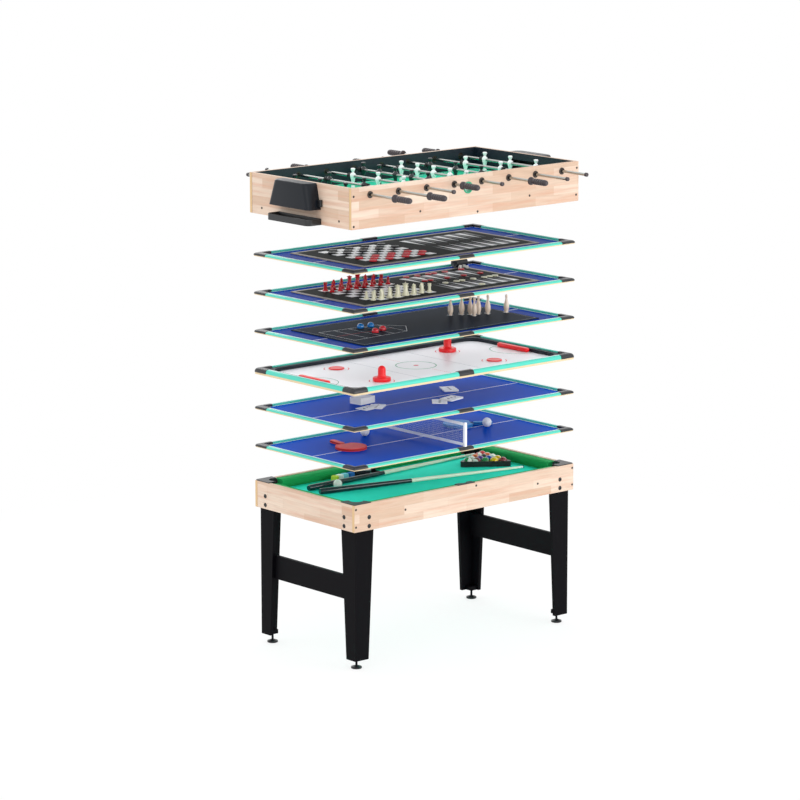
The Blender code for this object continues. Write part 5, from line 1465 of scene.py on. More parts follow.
# %% [markdown]
# A chessman is a turned body with a foot, a waist and a collar, then a head that tells the piece: a
# ball, a crown, a mitre, a tower or a horse. The horse is an outline whose two sides draw in. All
# sizes of a man are shares of its height or of its foot.

# %% Chess men
BACK_ROW = ("rook", "knight", "bishop", "queen", "king", "bishop", "knight", "rook")
MAN_HEIGHTS = {"rook": 0.036, "knight": 0.042, "bishop": 0.046, "queen": 0.05, "king": 0.056, "pawn": 0.032}
FOOT_SHARE, FOOT_LEAST = 0.3, 0.0115
WAIST_SHARE, COLLAR_SHARE = 0.5, 0.74
CROSS_HALF, CROSS_ARM = 0.9 * MM, 2.4 * MM
# The horse from the back of its neck round the muzzle, in half heights across and in heights up
HORSE = ((-0.3, 0.22), (0.28, 0.22), (0.3, 0.36), (0.12, 0.5), (0.16, 0.58), (0.4, 0.6), (0.44, 0.68),
         (0.2, 0.86), (0.08, 1.0), (-0.02, 0.9), (-0.26, 0.76), (-0.36, 0.52))
HORSE_MIDDLE, HORSE_SIDES = 0.6, ((-1, 0.82), (-0.6, 1.0), (0.6, 1.0), (1, 0.82))
men_top = chess_floor + INK_RISE


def man_base(height, foot, waist, collar, top_share):
    """Turned foot, waist and collar up to a share of the height."""
    shares = ((0, 0), (foot, 0), (foot, 0.07), (foot * 0.82, 0.11), (foot * 0.86, 0.15), (foot * 0.58, 0.23),
              (waist, 0.4), (waist * 0.92, top_share - 0.08), (collar, top_share - 0.05),
              (collar, top_share - 0.02), (waist * 0.9, top_share))
    return [(radius, height * share) for radius, share in shares]


def globe(radius, middle_height, first=-60, last=90, steps=7):
    """Profile of a ball between two angles, on the axis where the last is 90 degrees."""
    points = arc(radius, first, last, steps, (0, middle_height))
    return [*points[:-1], (0, points[-1][1])] if last == 90 else points


def chess_man(kind):
    """Solids of one man standing on Z 0."""
    height = MAN_HEIGHTS[kind]
    foot = max(FOOT_LEAST, height * FOOT_SHARE)
    waist, collar = foot * WAIST_SHARE, foot * COLLAR_SHARE
    if kind == "pawn":
        head = height * 0.17
        return [turned(man_base(height, foot, waist, collar, 0.66) + globe(head, height - head), 18)]
    if kind == "rook":
        rim_radius, rim_top = foot * 0.68, height * 0.88
        tower = man_base(height, foot, waist * 1.15, collar, 0.74)
        tower += [(rim_radius, height * 0.8), (rim_radius, rim_top), (0, rim_top)]
        solids = [turned(tower, 18)]
        for turn in range(0, 360, 60):
            merlon = slab(arc(rim_radius, -19, 19, 4) + arc(foot * 0.42, 19, -19, 4), rim_top - HAIR, height)
            solids.append(moved(merlon, turn=turn))
        return solids
    if kind == "bishop":
        head = height * 0.13
        mitre = [*globe(head, height * 0.8, -50, 40, 5), (head * 0.5, height * 0.93),
                 (head * 0.22, height * 0.95), (head * 0.26, height * 0.975), (0, height)]
        return [turned(man_base(height, foot, waist, collar, 0.68) + mitre, 18)]
    if kind == "queen":
        orb = collar * 0.42
        crown = [(waist * 0.9, height * 0.78), (collar * 1.05, height * 0.92), (collar * 0.8, height * 0.93),
                 *globe(orb, height - orb, -30)]
        return [turned(man_base(height, foot, waist, collar, 0.74) + crown, 18)]
    if kind == "king":
        crown = [(waist, height * 0.76), (collar * 1.05, height * 0.88), (collar * 0.5, height * 0.91),
                 (0, height * 0.915)]
        half, arm = CROSS_HALF, CROSS_ARM
        upright = block((-half, -half, height * 0.9), (half, half, height))
        across = block((-half, -arm, height * 0.945), (half, arm, height * 0.975))
        return [turned(man_base(height, foot, waist, collar, 0.72) + crown, 18), upright, across]
    sections = [[(x * height * 0.5 * squeeze, foot * 0.42 * side,
                  height * (HORSE_MIDDLE + (z - HORSE_MIDDLE) * squeeze)) for x, z in HORSE]
                for side, squeeze in HORSE_SIDES]
    base = turned([(0, 0), (foot, 0), (foot, height * 0.07), (foot * 0.82, height * 0.11),
                   (foot * 0.86, height * 0.17), (foot * 0.6, height * 0.27), (0, height * 0.27)], 18)
    return [base, carried(sections)]


for side, colour, material in ((1, "red", CHESS_RED), (-1, "cream", CHESS_CREAM)):
    parts = []
    for column, officer in enumerate(BACK_ROW):
        for kind, row in ((officer, 3.5), ("pawn", 2.5)):
            x, y = CHESS_X + (column - 3.5) * CHESS_SQUARE, side * row * CHESS_SQUARE
            man = [(solid, material) for solid in chess_man(kind)]
            parts += placed(man, x, y, men_top, 90 if side < 0 else -90)
    piece(f"{colour}_chess_men", "chess", parts, replaced=["chess_set"] if side > 0 else ())
print("thirty two chess men")

# %% [markdown]
# Counters are turned discs with a raised rim and a hollow middle, so they stack. The dice have
# rounded corners, and their spots are thin dark discs. The cup lies on its side with its open end,
# lined in grey, towards the game.

# %% Counters, dice and cup
COUNTER_RADIUS, COUNTER_HEIGHT = 0.0135, 0.0045
COUNTER_ROWS = (0.18, 0.06, -0.035, -0.16)
# The number of the point and of the row for each counter
RED_COUNTERS = ((1, 0), (3, 0), (5, 0), (6, 0), (8, 0), (11, 0), (1, 1), (2, 1), (5, 1), (8, 1), (11, 1))
CREAM_COUNTERS = ((2, 2), (4, 2), (5, 2), (7, 2), (9, 2), (10, 2), (11, 2), (5, 3))
DIE_SIZE, DIE_SPOT, SPOT_STEP, SPOT_RISE = 0.011, MM, 2.6 * MM, 0.1 * MM
DICE = ((0.43, 0.205, 10), (0.448, 0.222, 35), (0.462, 0.196, -20), (0.47, 0.224, 60))
CUP_RADIUS, CUP_LENGTH, CUP_WALL = 0.021, 0.062, 0.0025
CUP_PLACE = (0.443, 0.258, 1.5064)

DIE_WHITE = moulded("white_urea_die", "F4F4EE", 0.3)
CUP_LEATHER = moulded("black_leatherette", "1A1A1C", 0.5, grain=1.2, depth=0.15)
CUP_END = moulded("grey_cup_lining", "9A9EA2", 0.6)


def counter(radius, height):
    ease, hollow, ridge, rim = 0.4 * MM, height - 0.7 * MM, height - 0.2 * MM, radius * 0.14
    return turned([(0, 0), (radius - ease, 0), (radius, ease), (radius, height - ease),
                   (radius - ease, height), (radius - rim, height), (radius - rim * 1.5, hollow),
                   (radius * 0.55, hollow), (radius * 0.5, ridge), (radius * 0.35, ridge),
                   (radius * 0.3, hollow), (0, hollow)], 24)


parts = []
for places, material in ((RED_COUNTERS, COUNTER_RED), (CREAM_COUNTERS, COUNTER_CREAM)):
    for number, row in places:
        x, y = POINTS_X + (number + 0.5) * step_x, COUNTER_ROWS[row]
        parts.append((moved(counter(COUNTER_RADIUS, COUNTER_HEIGHT), x, y, men_top), material))
piece("backgammon_counters", "chess", parts)

SPOTS = {1: ((0, 0),), 2: ((-1, -1), (1, 1)), 3: ((-1, -1), (0, 0), (1, 1)),
         4: ((-1, -1), (-1, 1), (1, -1), (1, 1)), 5: ((-1, -1), (-1, 1), (1, -1), (1, 1), (0, 0)),
         6: ((-1, -1), (-1, 0), (-1, 1), (1, -1), (1, 0), (1, 1))}


def die(number):
    """A die on Z 0 with spots on its top, its near face and its left face."""
    half = DIE_SIZE / 2
    parts = [(block((-half, -half, 0), (half, half, DIE_SIZE)), DIE_WHITE)]
    top_spots, front_spots, side_spots = ((number + shift) % 6 + 1 for shift in (0, 1, 3))
    for a, b in SPOTS[top_spots]:
        spot = circle(DIE_SPOT, (a * SPOT_STEP, b * SPOT_STEP), 12)
        parts.append((slab(spot, DIE_SIZE - HAIR, DIE_SIZE + SPOT_RISE), BLACK_INK))
    for spots, turn, axis, along in ((front_spots, 90, "X", (1, 0)), (side_spots, -90, "Y", (0, 1))):
        for a, b in SPOTS[spots]:
            spot = slab(circle(DIE_SPOT, (0, 0), 12), half - HAIR, half + SPOT_RISE)
            x, y = along[0] * a * SPOT_STEP, along[1] * a * SPOT_STEP
            parts.append((moved(moved(spot, turn=turn, axis=axis), x, y, half + b * SPOT_STEP), BLACK_INK))
    return parts


parts = []
for number, (x, y, turn) in enumerate(DICE):
    parts += placed(die(number), x, y, chess_floor, turn)
piece("four_dice", "chess", parts, bevel_mm=0.7)

bore, cup_floor, lining_radius = CUP_RADIUS - CUP_WALL, CUP_LENGTH - 3 * MM, CUP_RADIUS - CUP_WALL - HAIR
cup = [(0, CUP_LENGTH), (CUP_RADIUS - MM, CUP_LENGTH), (CUP_RADIUS, CUP_LENGTH - MM), (CUP_RADIUS, 2 * MM),
       (CUP_RADIUS - MM, 0), (bore, 0), (bore, cup_floor), (0, cup_floor)]
lining = turned([(0, CUP_LENGTH - 3.2 * MM), (lining_radius, CUP_LENGTH - 3.2 * MM), (lining_radius, MM)], 36)
parts = placed([(turned(cup, 36), CUP_LEATHER), (lining, CUP_END)], 0, 0, turn=90, axis="Y")
piece("dice_shaker", "chess", placed(parts, *CUP_PLACE), replaced=["dice_cup"])
print("counters, dice and cup")

# %% [markdown]
# The draughts board takes the top place. Its panel has the same two fields, with twelve black and
# twelve red men on the dark squares. The men are a little wider than the counters and stack.

# %% Draughts
MAN_RADIUS, MAN_HEIGHT = 0.0165, 0.006

MAN_BLACK = moulded("black_draught_plastic", "1B1D21", 0.3, grain=2.0, depth=0.01)
MAN_RED = moulded("red_draught_plastic", "D2303A", 0.3, grain=2.0, depth=0.01)
draught_floor = laid_panel("draughts_panel", "checkers", "checkers_board")
piece("draughts_print", "checkers", squares(draught_floor) + points(draught_floor))
parts = []
for row in (0, 1, 2, 5, 6, 7):
    for column in range(BOARD_SQUARES):
        if (row + column) % 2 == 0:
            man = moved(counter(MAN_RADIUS, MAN_HEIGHT), *square_at(row, column), draught_floor + INK_RISE)
            parts.append((man, MAN_RED if row < 4 else MAN_BLACK))
piece("draughts_men", "checkers", parts, replaced=["checkers_set"])
print("twenty four men")

# %% [markdown]
# The table football top has the same rubberwood outside and a near black inside. Eight bushings
# pierce each long wall and one ball inlet the front wall, so the walls are outlines with holes, stood
# upright. The end walls stand between them and have a goal mouth each. Screws sit where the
# photograph shows them.

# %% Football cabinet
SOCCER_WALL_SCREWS = ((-0.611, 0.034), (-0.611, 0.155), (-0.259, 0.126), (0.053, 0.157), (0.343, 0.119),
                      (0.612, 0.027), (0.609, 0.14))
ROD_SPACING, ROD_COUNT, ROD_DROP = 0.15, 8, 0.033
BUSHING_RADIUS, BUSHING_BORE, BUSHING_LIP = 0.0145, 0.0068, 0.004
INLET_RADIUS, INLET_WALL, INLET_X, INLET_DROP = 0.0245, 0.005, 0.0, 0.053
GOAL_WIDTH, GOAL_HEIGHT, FIELD_DROP, FIELD_THICKNESS = 0.19, 0.062, 0.092, 0.006
LEDGER = 0.015
END_SCREW_Y, END_SCREW_DROP = 0.245, 0.14
RING_RIM = 0.6
WALL_BEVEL_MM = 0.9

wall_low, wall_high = (Vector(corner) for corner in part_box("soccer_left_wall"))
soccer_bottom, soccer_top = wall_low.z, wall_high.z
soccer_x = -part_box("left_goal_housing")[1][0] - SEAT
soccer_y = -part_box("soccer_front_wall")[0][1] - BUSHING_LIP
WALL = 0.015
inside_x, inside_y = soccer_x - WALL, soccer_y - WALL
rod_height, field_top = soccer_top - ROD_DROP, soccer_top - FIELD_DROP

CABINET_X = laminate("rubberwood_cabinet_long", "X", dark_inside=inside_y + MM)
CABINET_Y = laminate("rubberwood_cabinet_end", "Y", dark_inside=inside_x + MM)
NYLON = moulded("black_nylon_bushing", "2A1F18", 0.32, grain=1.5, depth=0.01)


def rod_x(index):
    return (index - (ROD_COUNT - 1) / 2) * ROD_SPACING


def stood(solid):
    """From a flat outline of (x, height) to an upright board along X."""
    return moved(solid, turn=90, axis="X")


def bushing():
    """Flanged bushing with a rounded lip, its wall face on Z 0 and its bore open."""
    outer, bore, lip, back = BUSHING_RADIUS, BUSHING_BORE, BUSHING_LIP, -WALL + MM
    return turned_ring([(bore, back), (outer, back), (outer, lip * 0.5), (outer - 0.6 * MM, lip * 0.85),
                        (outer - 2 * MM, lip), (bore + 3 * MM, lip), (bore + 2.2 * MM, lip * RING_RIM),
                        (bore, lip * RING_RIM)], 32)


def inlet():
    """Ball inlet: a green ring with an eased rim."""
    outer, bore, lip, back = INLET_RADIUS, INLET_RADIUS - INLET_WALL, BUSHING_LIP, -WALL + MM
    return turned_ring([(bore, back), (outer, back), (outer, lip * RING_RIM), (outer - MM, lip),
                        (bore + MM, lip), (bore, lip * RING_RIM)], 40)


def wall_face(reach):
    """Outline of a wall as (place along it, height)."""
    return [(-reach, soccer_bottom), (reach, soccer_bottom), (reach, soccer_top), (-reach, soccer_top)]


for name, sy in SIDES:
    holes = [circle(BUSHING_RADIUS - HAIR, (rod_x(i), rod_height), 32) for i in range(ROD_COUNT)]
    way = "-y" if sy < 0 else "+y"
    parts = []
    if name == "front":
        holes.append(circle(INLET_RADIUS - HAIR, (INLET_X, soccer_top - INLET_DROP), 40))
        parts.append((facing(inlet(), way, INLET_X, -soccer_y, soccer_top - INLET_DROP), INLET_PVC))
    low, high = sorted((-sy * inside_y, -sy * soccer_y))
    parts.append((stood(slab(wall_face(soccer_x), low, high, holes)), CABINET_X))
    for i in range(ROD_COUNT):
        parts.append((facing(bushing(), way, rod_x(i), sy * soccer_y, rod_height), NYLON))
    parts += [screw(way, x, sy * soccer_y, soccer_top - drop) for x, drop in SOCCER_WALL_SCREWS]
    across = sorted((sy * (inside_y - SEAT), sy * (inside_y - LEDGER)))
    under = field_top - FIELD_THICKNESS - SEAT
    ledge = block((-inside_x + MM, across[0], under - LEDGER), (inside_x - MM, across[1], under))
    parts.append((ledge, FIBREBOARD))
    piece(f"football_{name}_wall", "soccer_top", parts, bevel_mm=WALL_BEVEL_MM,
          replaced=[f"soccer_{name}_wall"])
    bands = end_bands(soccer_x, *sorted((sy * inside_y, sy * soccer_y)), soccer_bottom, soccer_top)
    piece(f"football_{name}_end_bands", "soccer_top", bands)

goal_middle = field_top + GOAL_HEIGHT / 2 + SEAT
mouth = rectangle(GOAL_WIDTH, GOAL_HEIGHT, (0, goal_middle))
for name, sx in ENDS:
    board = stood(slab(wall_face(inside_y), -WALL / 2, WALL / 2, [mouth]))
    parts = [(moved(board, sx * (soccer_x - WALL / 2), turn=90), CABINET_Y)]
    way = "-x" if sx < 0 else "+x"
    parts += [screw(way, sx * soccer_x, y, soccer_top - END_SCREW_DROP) for y in (-END_SCREW_Y, END_SCREW_Y)]
    piece(f"football_{name}_wall", "soccer_top", parts, bevel_mm=WALL_BEVEL_MM)
print("cabinet", round(2 * soccer_x, 3), "by", round(2 * soccer_y, 3), "m")

# %% [markdown]
# The pitch is a sheet of fibreboard with a printed green film. Lighter and darker bands cross it as
# on mown grass, and the white lines follow a small football pitch.

# %% Pitch
PITCH_BAND = 0.075
PITCH_LINE, PITCH_MARGIN = 0.004, 0.02
LIGHT_TURF, DARK_TURF, GRASS_TONE = "24ECBC", "18D8A4", (0.9, 1.08)
KICK_OFF_CIRCLE, KICK_OFF_SPOT, BOX_ARC = 0.08, 0.008, 0.055
# Depth and width of the penalty and goal areas
AREAS = ((0.16, 0.33), (0.07, 0.21))


def printed_turf(name):
    material, tree, shader = new_material(name, LIGHT_TURF, 0.45)
    point = object_point(tree)
    split = add(tree, "SeparateXYZ", {0: point})
    bands = maths(tree, "PINGPONG", split.outputs["X"], 2 * PITCH_BAND)
    step_up = maths(tree, "GREATER_THAN", bands, PITCH_BAND)
    turf = mixed(tree, step_up, linear(LIGHT_TURF), linear(DARK_TURF))
    shade = spread(tree, speckle(tree, point, 400.0, 3), GRASS_TONE)
    paint(tree, shader, shaded(tree, turf, shade))
    return material


TURF = printed_turf("printed_green_film")
reach_x, reach_y = inside_x - SEAT, inside_y - SEAT
field_low = field_top - FIELD_THICKNESS
sheet = block((-reach_x, -reach_y, field_low), (reach_x, reach_y, field_top))
back = block((-reach_x, -reach_y, field_low - HAIR), (reach_x, reach_y, field_low))
parts = [(sheet, TURF), (back, BACKING)]
line_x, line_y = 2 * (reach_x - PITCH_MARGIN), 2 * (reach_y - PITCH_MARGIN)
thin = PITCH_LINE / 2
lines = [frame_line(line_x, line_y, PITCH_LINE, field_top),
         strip(-thin, -line_y / 2, thin, line_y / 2, field_top),
         curve_line(KICK_OFF_CIRCLE, 0, 360, PITCH_LINE, (0, 0), field_top),
         printed(circle(KICK_OFF_SPOT), field_top)]
for sx in (-1, 1):
    edge = sx * line_x / 2
    for depth, width in AREAS:
        x, half = edge - sx * depth, width / 2
        lines += [strip(x - thin, -half, x + thin, half, field_top),
                  strip(edge, -half - thin, x, -half + thin, field_top),
                  strip(edge, half - thin, x, half + thin, field_top)]
    start, centre = 90 if sx > 0 else -90, (sx * (line_x / 2 - AREAS[0][0]), 0)
    lines.append(curve_line(BOX_ARC, start, start + 180, PITCH_LINE, centre, field_top))
parts += [(line, WHITE_INK) for line in lines]
piece("pitch", "soccer_top", parts, replaced=["soccer_field"])
print("pitch", round(2 * reach_x, 3), "by", round(2 * reach_y, 3), "m")

# %% [markdown]
# Behind each goal sits a black housing with sloping cheeks. It is a moulded shell, open to the goal
# mouth, so a ball that scores drops down inside it to the tray below. A raised frame on its top stays
# bare, and a small catch on each side holds the housing to the end wall.

# %% Goal housings and ball trays
HOUSING_TOP_WIDTH, HOUSING_FOOT_WIDTH, HOUSING_DEPTH = 0.235, 0.285, 0.062
HOUSING_HEIGHT, HOUSING_WALL, HOUSING_TURN = 0.105, 0.004, 0.006
HOUSING_SLIM = 0.01
FOOT_ROUND, CHEEK_ROUND, TOP_ROUND, INNER_ROUND, INNER_FOOT_ROUND = 0.02, 0.03, 0.028, 0.024, 0.018
CHEEK_STEPS = 6
BADGE_X, BADGE_SIZE, BADGE_ROUND = 0.027, (0.022, 0.105), 0.006
CATCH_SIZE, CATCH_ROUND, CATCH_X, CATCH_OUT, CATCH_RISE = (0.012, 0.02), 0.004, 0.008, 0.004, (0.012, 0.04)
TRAY_WIDTH, TRAY_DEPTH, TRAY_HEIGHT, TRAY_WALL = 0.27, 0.07, 0.026, 0.004
HOUSING_ABS = moulded("black_housing_abs", "0C121A", 0.34, grain=0.9, depth=0.025, gloss=0.25)


def cheek_outline(half, depth, rounding):
    """Open outline from one side of the wall, round the outer corners, to the other side."""
    start = soccer_x + SEAT
    out = start + depth
    return [(start, -half), *arc(rounding, -90, 0, CHEEK_STEPS, (out - rounding, rounding - half)),
            *arc(rounding, 0, 90, CHEEK_STEPS, (out - rounding, half - rounding)), (start, half)]


def shell(rows):
    """Shell from open outlines given from the outer foot over the top to the inner foot."""
    solid = bmesh.new()
    made = [[solid.verts.new((x, y, height)) for x, y in outline] for outline, height in rows]
    middle = len(made) // 2
    solid.faces.new(made[middle - 1])
    solid.faces.new(made[middle])
    for number, (first, second) in enumerate(zip(made, made[1:] + made[:1])):
        if number == middle - 1:
            continue
        for i in range(len(first) - 1):
            solid.faces.new((first[i], first[i + 1], second[i + 1], second[i]))
    for end in (0, -1):
        solid.faces.new([row[end] for row in made])
    top_row, ceiling = made[middle - 1], made[middle]
    solid.faces.new((top_row[0], top_row[-1], ceiling[-1], ceiling[0]))
    bmesh.ops.recalc_face_normals(solid, faces=solid.faces)
    return solid


def housing():
    top, foot = HOUSING_TOP_WIDTH / 2 - HOUSING_SLIM, HOUSING_FOOT_WIDTH / 2 - HOUSING_SLIM
    low, wall, turn, deep = soccer_top - HOUSING_HEIGHT, HOUSING_WALL, HOUSING_TURN, HOUSING_DEPTH
    rows = [(foot, deep, FOOT_ROUND, low), (top + 1.5 * MM, deep - 5 * MM, CHEEK_ROUND, soccer_top - turn)]
    for i in (1, 2, 3):
        a = radians(30 * i)
        inset = turn * (1 - cos(a))
        rows.append((top - inset, deep - 5.5 * MM - inset, TOP_ROUND, soccer_top - turn + turn * sin(a)))
    for grow in (0, 0.5 * MM, MM):
        rows.append((top - wall - turn + grow, deep - 6 * MM - wall - turn + grow, INNER_ROUND,
                     soccer_top - wall - 2 * grow))
    rows += [(top - wall, deep - 5 * MM - wall, INNER_ROUND, soccer_top - wall - turn),
             (foot - wall, deep - wall, INNER_FOOT_ROUND, low)]
    return shell([(cheek_outline(half, depth, rounding), height) for half, depth, rounding, height in rows])


for name, sx in ENDS:
    centre, (length, width), low = (soccer_x + BADGE_X, 0), BADGE_SIZE, soccer_top - HOUSING_HEIGHT
    opening = rounded_rectangle(length - 3 * MM, width - 3 * MM, BADGE_ROUND - 1.5 * MM, centre)
    badge = rounded_rectangle(length, width, BADGE_ROUND, centre)
    badge = slab(badge, soccer_top - MM, soccer_top, [opening])
    parts = [(housing(), HOUSING_ABS), (badge, BLACK_ABS)]
    for sy in (-1, 1):
        middle = (soccer_x + CATCH_X, sy * (HOUSING_FOOT_WIDTH / 2 - HOUSING_SLIM + CATCH_OUT))
        catch = rounded_rectangle(*CATCH_SIZE, CATCH_ROUND, middle)
        parts.append((slab(catch, low + CATCH_RISE[0], low + CATCH_RISE[1]), BLACK_ABS))
    parts = [(flipped(solid, sx), material) for solid, material in parts]
    piece(f"{name}_goal_shell", "soccer_top", parts, bevel_mm=0.4, replaced=[f"{name}_goal_housing"])


def tray():
    """Tray as rows from the outer foot over the rim to the inner floor."""
    start, stop = soccer_x + SEAT, soccer_x + TRAY_DEPTH - 2 * SEAT
    half, wall, turn = TRAY_WIDTH / 2, TRAY_WALL, TRAY_DEPTH * 0.35

    def outline(inset):
        return [(start + inset, inset - half), *arc(turn - inset, -90, 0, 8, (stop - turn, turn - half)),
                *arc(turn - inset, 0, 90, 8, (stop - turn, half - turn)), (start + inset, half - inset)]

    high = TRAY_HEIGHT
    rows = [(0, 0), (0, high - 1.5 * MM), (0.6 * MM, high - 0.4 * MM), (1.6 * MM, high),
            (wall - 1.6 * MM, high), (wall - 0.6 * MM, high - 0.4 * MM), (wall, high - 1.5 * MM),
            (wall, wall)]
    return carried([[(x, y, soccer_bottom + rise) for x, y in outline(inset)] for inset, rise in rows])


for name, sx in ENDS:
    piece(f"{name}_ball_tray", "soccer_top", [(flipped(tray(), sx), BLACK_ABS)],
          replaced=[f"soccer_{name}_wall"])
print("housings and trays")

# %% [markdown]
# Rods are chromed steel tube. Each carries a ribbed rubber handle at one end, a rubber cap at the
# other, a bumper on each side of its men, and the men themselves, pinned through the chest. In the
# model the tube, handle, cap and men ride with the turning body, and the bumpers with the sliding one.

# %% Rod parts
ROD_RADIUS = 0.006
GRIP_LENGTH, GRIP_RADIUS, COLLAR_RADIUS, COLLAR = 0.1, 0.0128, 0.0165, 0.012
GRIP_RIBS, GRIP_END = 5, 0.012
# A rib's shares of its own length and of the grip's radius
RIB_SHAPE = ((0.0, 0.72), (0.14, 0.9), (0.32, 1.0), (0.68, 1.0), (0.86, 0.9), (1.0, 0.72))
CAP_RADIUS, CAP_END, CAP_EASE = 0.0085, 0.012, 2.5 * MM
BUMPER_RADIUS, BUMPER_LENGTH, BUMPER_WAIST = 0.0115, 0.014, 0.92
FIGURE_HALF = 0.0125
ROD_MARGIN, WALL_PLAY = 0.016, 0.004
# For each rod its men, their spacing, the side of its handle and its place in the travel
RODS = ((3, 0.16, -1, -0.1), (2, 0.22, -1, 0.0), (3, 0.16, 1, -0.19), (5, 0.102, -1, 0.6),
        (5, 0.102, 1, -0.35), (3, 0.16, -1, 0.05), (2, 0.22, 1, 0.0), (3, 0.16, 1, -0.05))

MAN_WHITE = moulded("white_player_abs", "F1F3F4", 0.3, grain=1.5, depth=0.01, coat=0.2)
MAN_NAVY = moulded("black_player_abs", "0B1118", 0.26, grain=1.5, depth=0.01, coat=0.3)


def polished_steel(name, colour, gloss):
    """Steel tube with drawing marks along it."""
    material, tree, shader = new_material(name, colour, gloss[0], metallic=1.0)
    marks = speckle(tree, object_point(tree, (40, 2, 40)), 6.0)
    tree.links.new(spread(tree, marks, gloss), shader.inputs["Roughness"])
    return material


CHROME = polished_steel("chromed_steel_tube", "A9ACA8", (0.1, 0.2))


def handle():
    """Handle from its collar at Z 0 to its rounded end, with its ribs between."""
    rim, grip = COLLAR_RADIUS, GRIP_RADIUS
    profile = [(ROD_RADIUS - MM, 0), (rim - 1.5 * MM, 0), (rim, 1.5 * MM), (rim, COLLAR * 0.6),
               (rim - 3 * MM, COLLAR), (grip * 0.78, COLLAR + 3 * MM), (grip * 0.74, COLLAR + 7 * MM)]
    start, stop = COLLAR + 10 * MM, GRIP_LENGTH - GRIP_END
    width = (stop - start) / GRIP_RIBS
    for i in range(GRIP_RIBS):
        low = start + (stop - start) * i / GRIP_RIBS
        profile += [(grip * radius, low + width * share * 0.98) for share, radius in RIB_SHAPE]
    profile += round_profile(grip * 0.6, GRIP_END, 15, 6, x=grip * 0.35, z=stop)
    return turned([*profile, (0, GRIP_LENGTH)], 36)


def end_cap():
    rim = round_profile(CAP_EASE, CAP_EASE, 30, 4, 1, CAP_RADIUS - CAP_EASE, CAP_END - CAP_EASE)
    return turned([(ROD_RADIUS - MM, 0), (CAP_RADIUS - MM, 0), (CAP_RADIUS, MM),
                   (CAP_RADIUS, CAP_END - CAP_EASE), *rim, (0, CAP_END)], 28)


def bumper():
    bore, waist = ROD_RADIUS + 0.3 * MM, BUMPER_RADIUS * BUMPER_WAIST
    outer, long = BUMPER_RADIUS, BUMPER_LENGTH
    return turned_ring([(bore, 0), (outer - MM, 0), (outer, MM), (waist, long * 0.4), (waist, long * 0.6),
                        (outer, long - MM), (outer - MM, long), (bore, long)], 28)


# Sections of a man in millimetres from the rod up: height, half width along the rod and half depth
SHOE = ((-52, 8, 8.8), (-50, 8.5, 9.8), (-44, 8.2, 9.2), (-40, 6.6, 7.2))
BODY = ((-40, 6.4, 6.8), (-33, 6, 6.4), (-22, 6.8, 7.2), (-13, 8.4, 9.2), (-6, 10.6, 11.6), (0, 12, 13),
        (5, 12.4, 12.8), (9.5, 10.8, 10), (13, 7, 6.6), (15, 5, 5), (16.8, 4.6, 4.8))
HEAD = ((16, 4.4, 4.6), (19, 6, 6.2), (23, 8, 8.2), (27, 9.4, 9.6), (30, 9.4, 9.6), (32.2, 7.8, 8),
        (33, 4, 4.2))


def player():
    """Moulded man on an upright Z, with the rod's axis through the chest at the origin."""
    return [carried([oval(width * MM, depth * MM, height * MM, 16) for height, width, depth in part])
            for part in (SHOE, BODY, HEAD)]


for number, (count, spacing, team, share) in enumerate(RODS, 1):
    outermost = (count - 1) / 2 * spacing + FIGURE_HALF
    travel = inside_y - outermost - BUMPER_LENGTH - SEAT - WALL_PLAY
    x, y = rod_x(number - 1), share * travel
    end = soccer_y + BUSHING_LIP + travel + ROD_MARGIN
    tube = turned([(0, -end - MM), (ROD_RADIUS, -end - MM), (ROD_RADIUS, end + MM), (0, end + MM)], 28)
    parts = [(moved(tube, turn=-90, axis="X"), CHROME)]
    grip = moved(moved(handle(), z=end), turn=-90 * team, axis="X")
    cap = moved(moved(end_cap(), z=end), turn=90 * team, axis="X")
    parts += [(grip, GRIP_RUBBER), (cap, GRIP_RUBBER)]
    plastic = MAN_NAVY if team < 0 else MAN_WHITE
    for place in range(count):
        man = [(solid, plastic) for solid in player()]
        parts += placed(man, 0, (place - (count - 1) / 2) * spacing)
    parts = placed(parts, x, y, rod_height)
    piece(f"football_rod_{number}", f"rod_{number}_turner", parts, replaced=[f"rod_{number}"])
    sleeves = []
    for sy in (-1, 1):
        sleeve = moved(moved(bumper(), z=outermost + SEAT), turn=-90 * sy, axis="X")
        sleeves.append((moved(sleeve, x, y, rod_height), BUMPER_RUBBER))
    piece(f"football_rod_{number}_bumpers", f"rod_{number}_slider", sleeves,
          replaced=[f"rod_{number}_bumper"])
print("eight rods with", sum(rod[0] for rod in RODS), "men")

# %% [markdown]
# Studio set: a wide pale floor and four soft lamps. The key stands low at the front, a weaker fill at
# the left, a rim lamp behind, and a flat lamp aims at the pool bed under the boards. To the camera the
# surroundings look white, as in the photograph, while the floor still takes a soft shadow.

# %% Floor and light
FLOOR_SIZE = 14.0
FLOOR_VEIL = (0.75, 1.0)
FLOOR_FADE = (1.0, 3.0)
FLOOR_GLOSS = (0.82, 0.9)
FLOOR_GAP = 0.0005
AMBIENT = 1.2
WHITE = (1, 1, 1, 1)
floor_mesh = bpy.data.meshes.new("studio_floor")
corners = [(x, y, 0) for x, y in rectangle(FLOOR_SIZE, FLOOR_SIZE)]
floor_mesh.from_pydata(corners, [], [(0, 1, 2, 3)])
studio_floor = bpy.data.objects.new("studio_floor", floor_mesh)
bpy.context.scene.collection.objects.link(studio_floor)
FLOOR_PAPER, tree, shader = new_material("white_seamless_paper", "F4F4F4", 0.85)
gloss = spread(tree, speckle(tree, object_point(tree), 250.0), FLOOR_GLOSS)
tree.links.new(gloss, shader.inputs["Roughness"])
sight = add(tree, "LightPath").outputs["Is Camera Ray"]
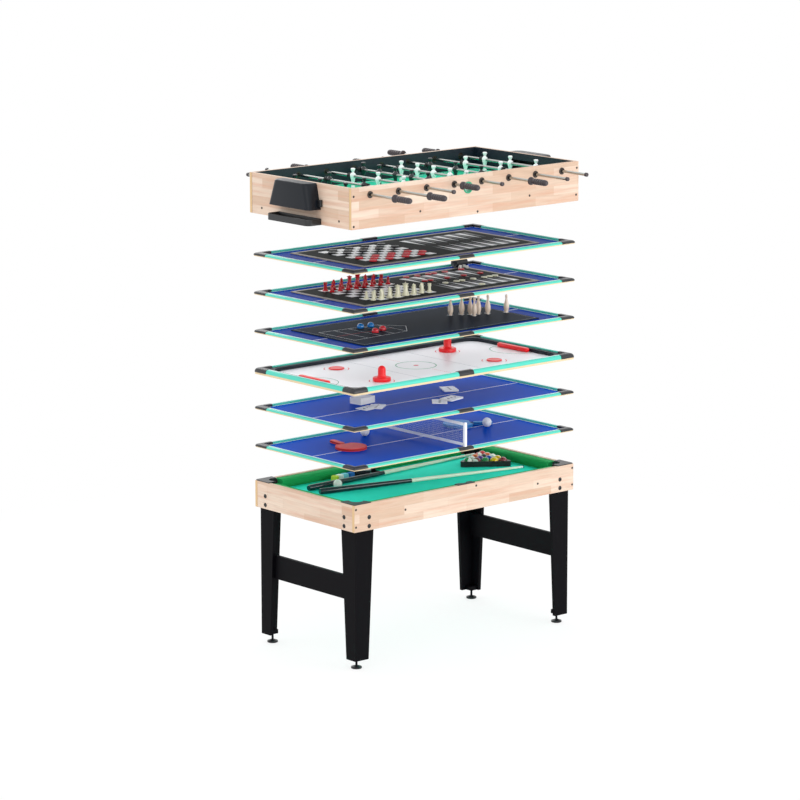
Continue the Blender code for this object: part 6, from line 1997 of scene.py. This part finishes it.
distance = add(tree, "VectorMath", {0: object_point(tree)}, operation="LENGTH").outputs["Value"]
veil = maths(tree, "MULTIPLY", sight, spread(tree, distance, FLOOR_VEIL, FLOOR_FADE))
glow = add(tree, "Emission", {"Color": WHITE, "Strength": 1.0})
blend = add(tree, "MixShader", {0: veil, 1: shader.outputs[0], 2: glow.outputs[0]})
floor_out = next(node for node in tree.nodes if node.type == "OUTPUT_MATERIAL")
tree.links.new(blend.outputs[0], floor_out.inputs["Surface"])
floor_mesh.materials.append(FLOOR_PAPER)
studio_floor.location.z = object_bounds()[0][2] - FLOOR_GAP

world = bpy.data.worlds.new("white_studio")
bpy.context.scene.world = world
world.use_nodes = True
tree = world.node_tree
tree.nodes.clear()
path = add(tree, "LightPath")
seen = maths(tree, "MAXIMUM", path.outputs["Is Camera Ray"], path.outputs["Is Transmission Ray"])
ambient = add(tree, "Background", {"Color": WHITE, "Strength": AMBIENT})
backdrop = add(tree, "Background", {"Color": WHITE, "Strength": 1.0})
choice = add(tree, "MixShader", {0: seen, 1: ambient.outputs[0], 2: backdrop.outputs[0]})
add(tree, "OutputWorld", {"Surface": choice.outputs[0]})


def softbox(name, place, aim, size, power):
    light = bpy.data.lights.new(name, "AREA")
    light.shape = "RECTANGLE"
    light.size, light.size_y = size
    light.energy = power
    lamp = bpy.data.objects.new(name, light)
    lamp.location = place
    lamp.rotation_euler = (Vector(aim) - Vector(place)).to_track_quat("-Z", "Y").to_euler()
    bpy.context.scene.collection.objects.link(lamp)


# Place, aim and size in metres, and power in watts
SOFTBOXES = {"key": ((1.4, -4.2, 2.3), (0, 0, 1.1), (2.4, 2.0), 36),
             "fill": ((-3.4, -1.8, 3.4), (0, 0, 1.2), (2.0, 1.6), 14),
             "rim": ((0.5, 3.6, 3.6), (0, 0, 1.2), (2.6, 1.4), 30),
             "bed": ((0.9, -3.6, 1.5), (0.1, 0.1, 0.65), (2.6, 0.4), 18)}
for name, (place, aim, size, power) in SOFTBOXES.items():
    softbox(f"{name}_softbox", place, aim, size, power)
print("four softboxes")
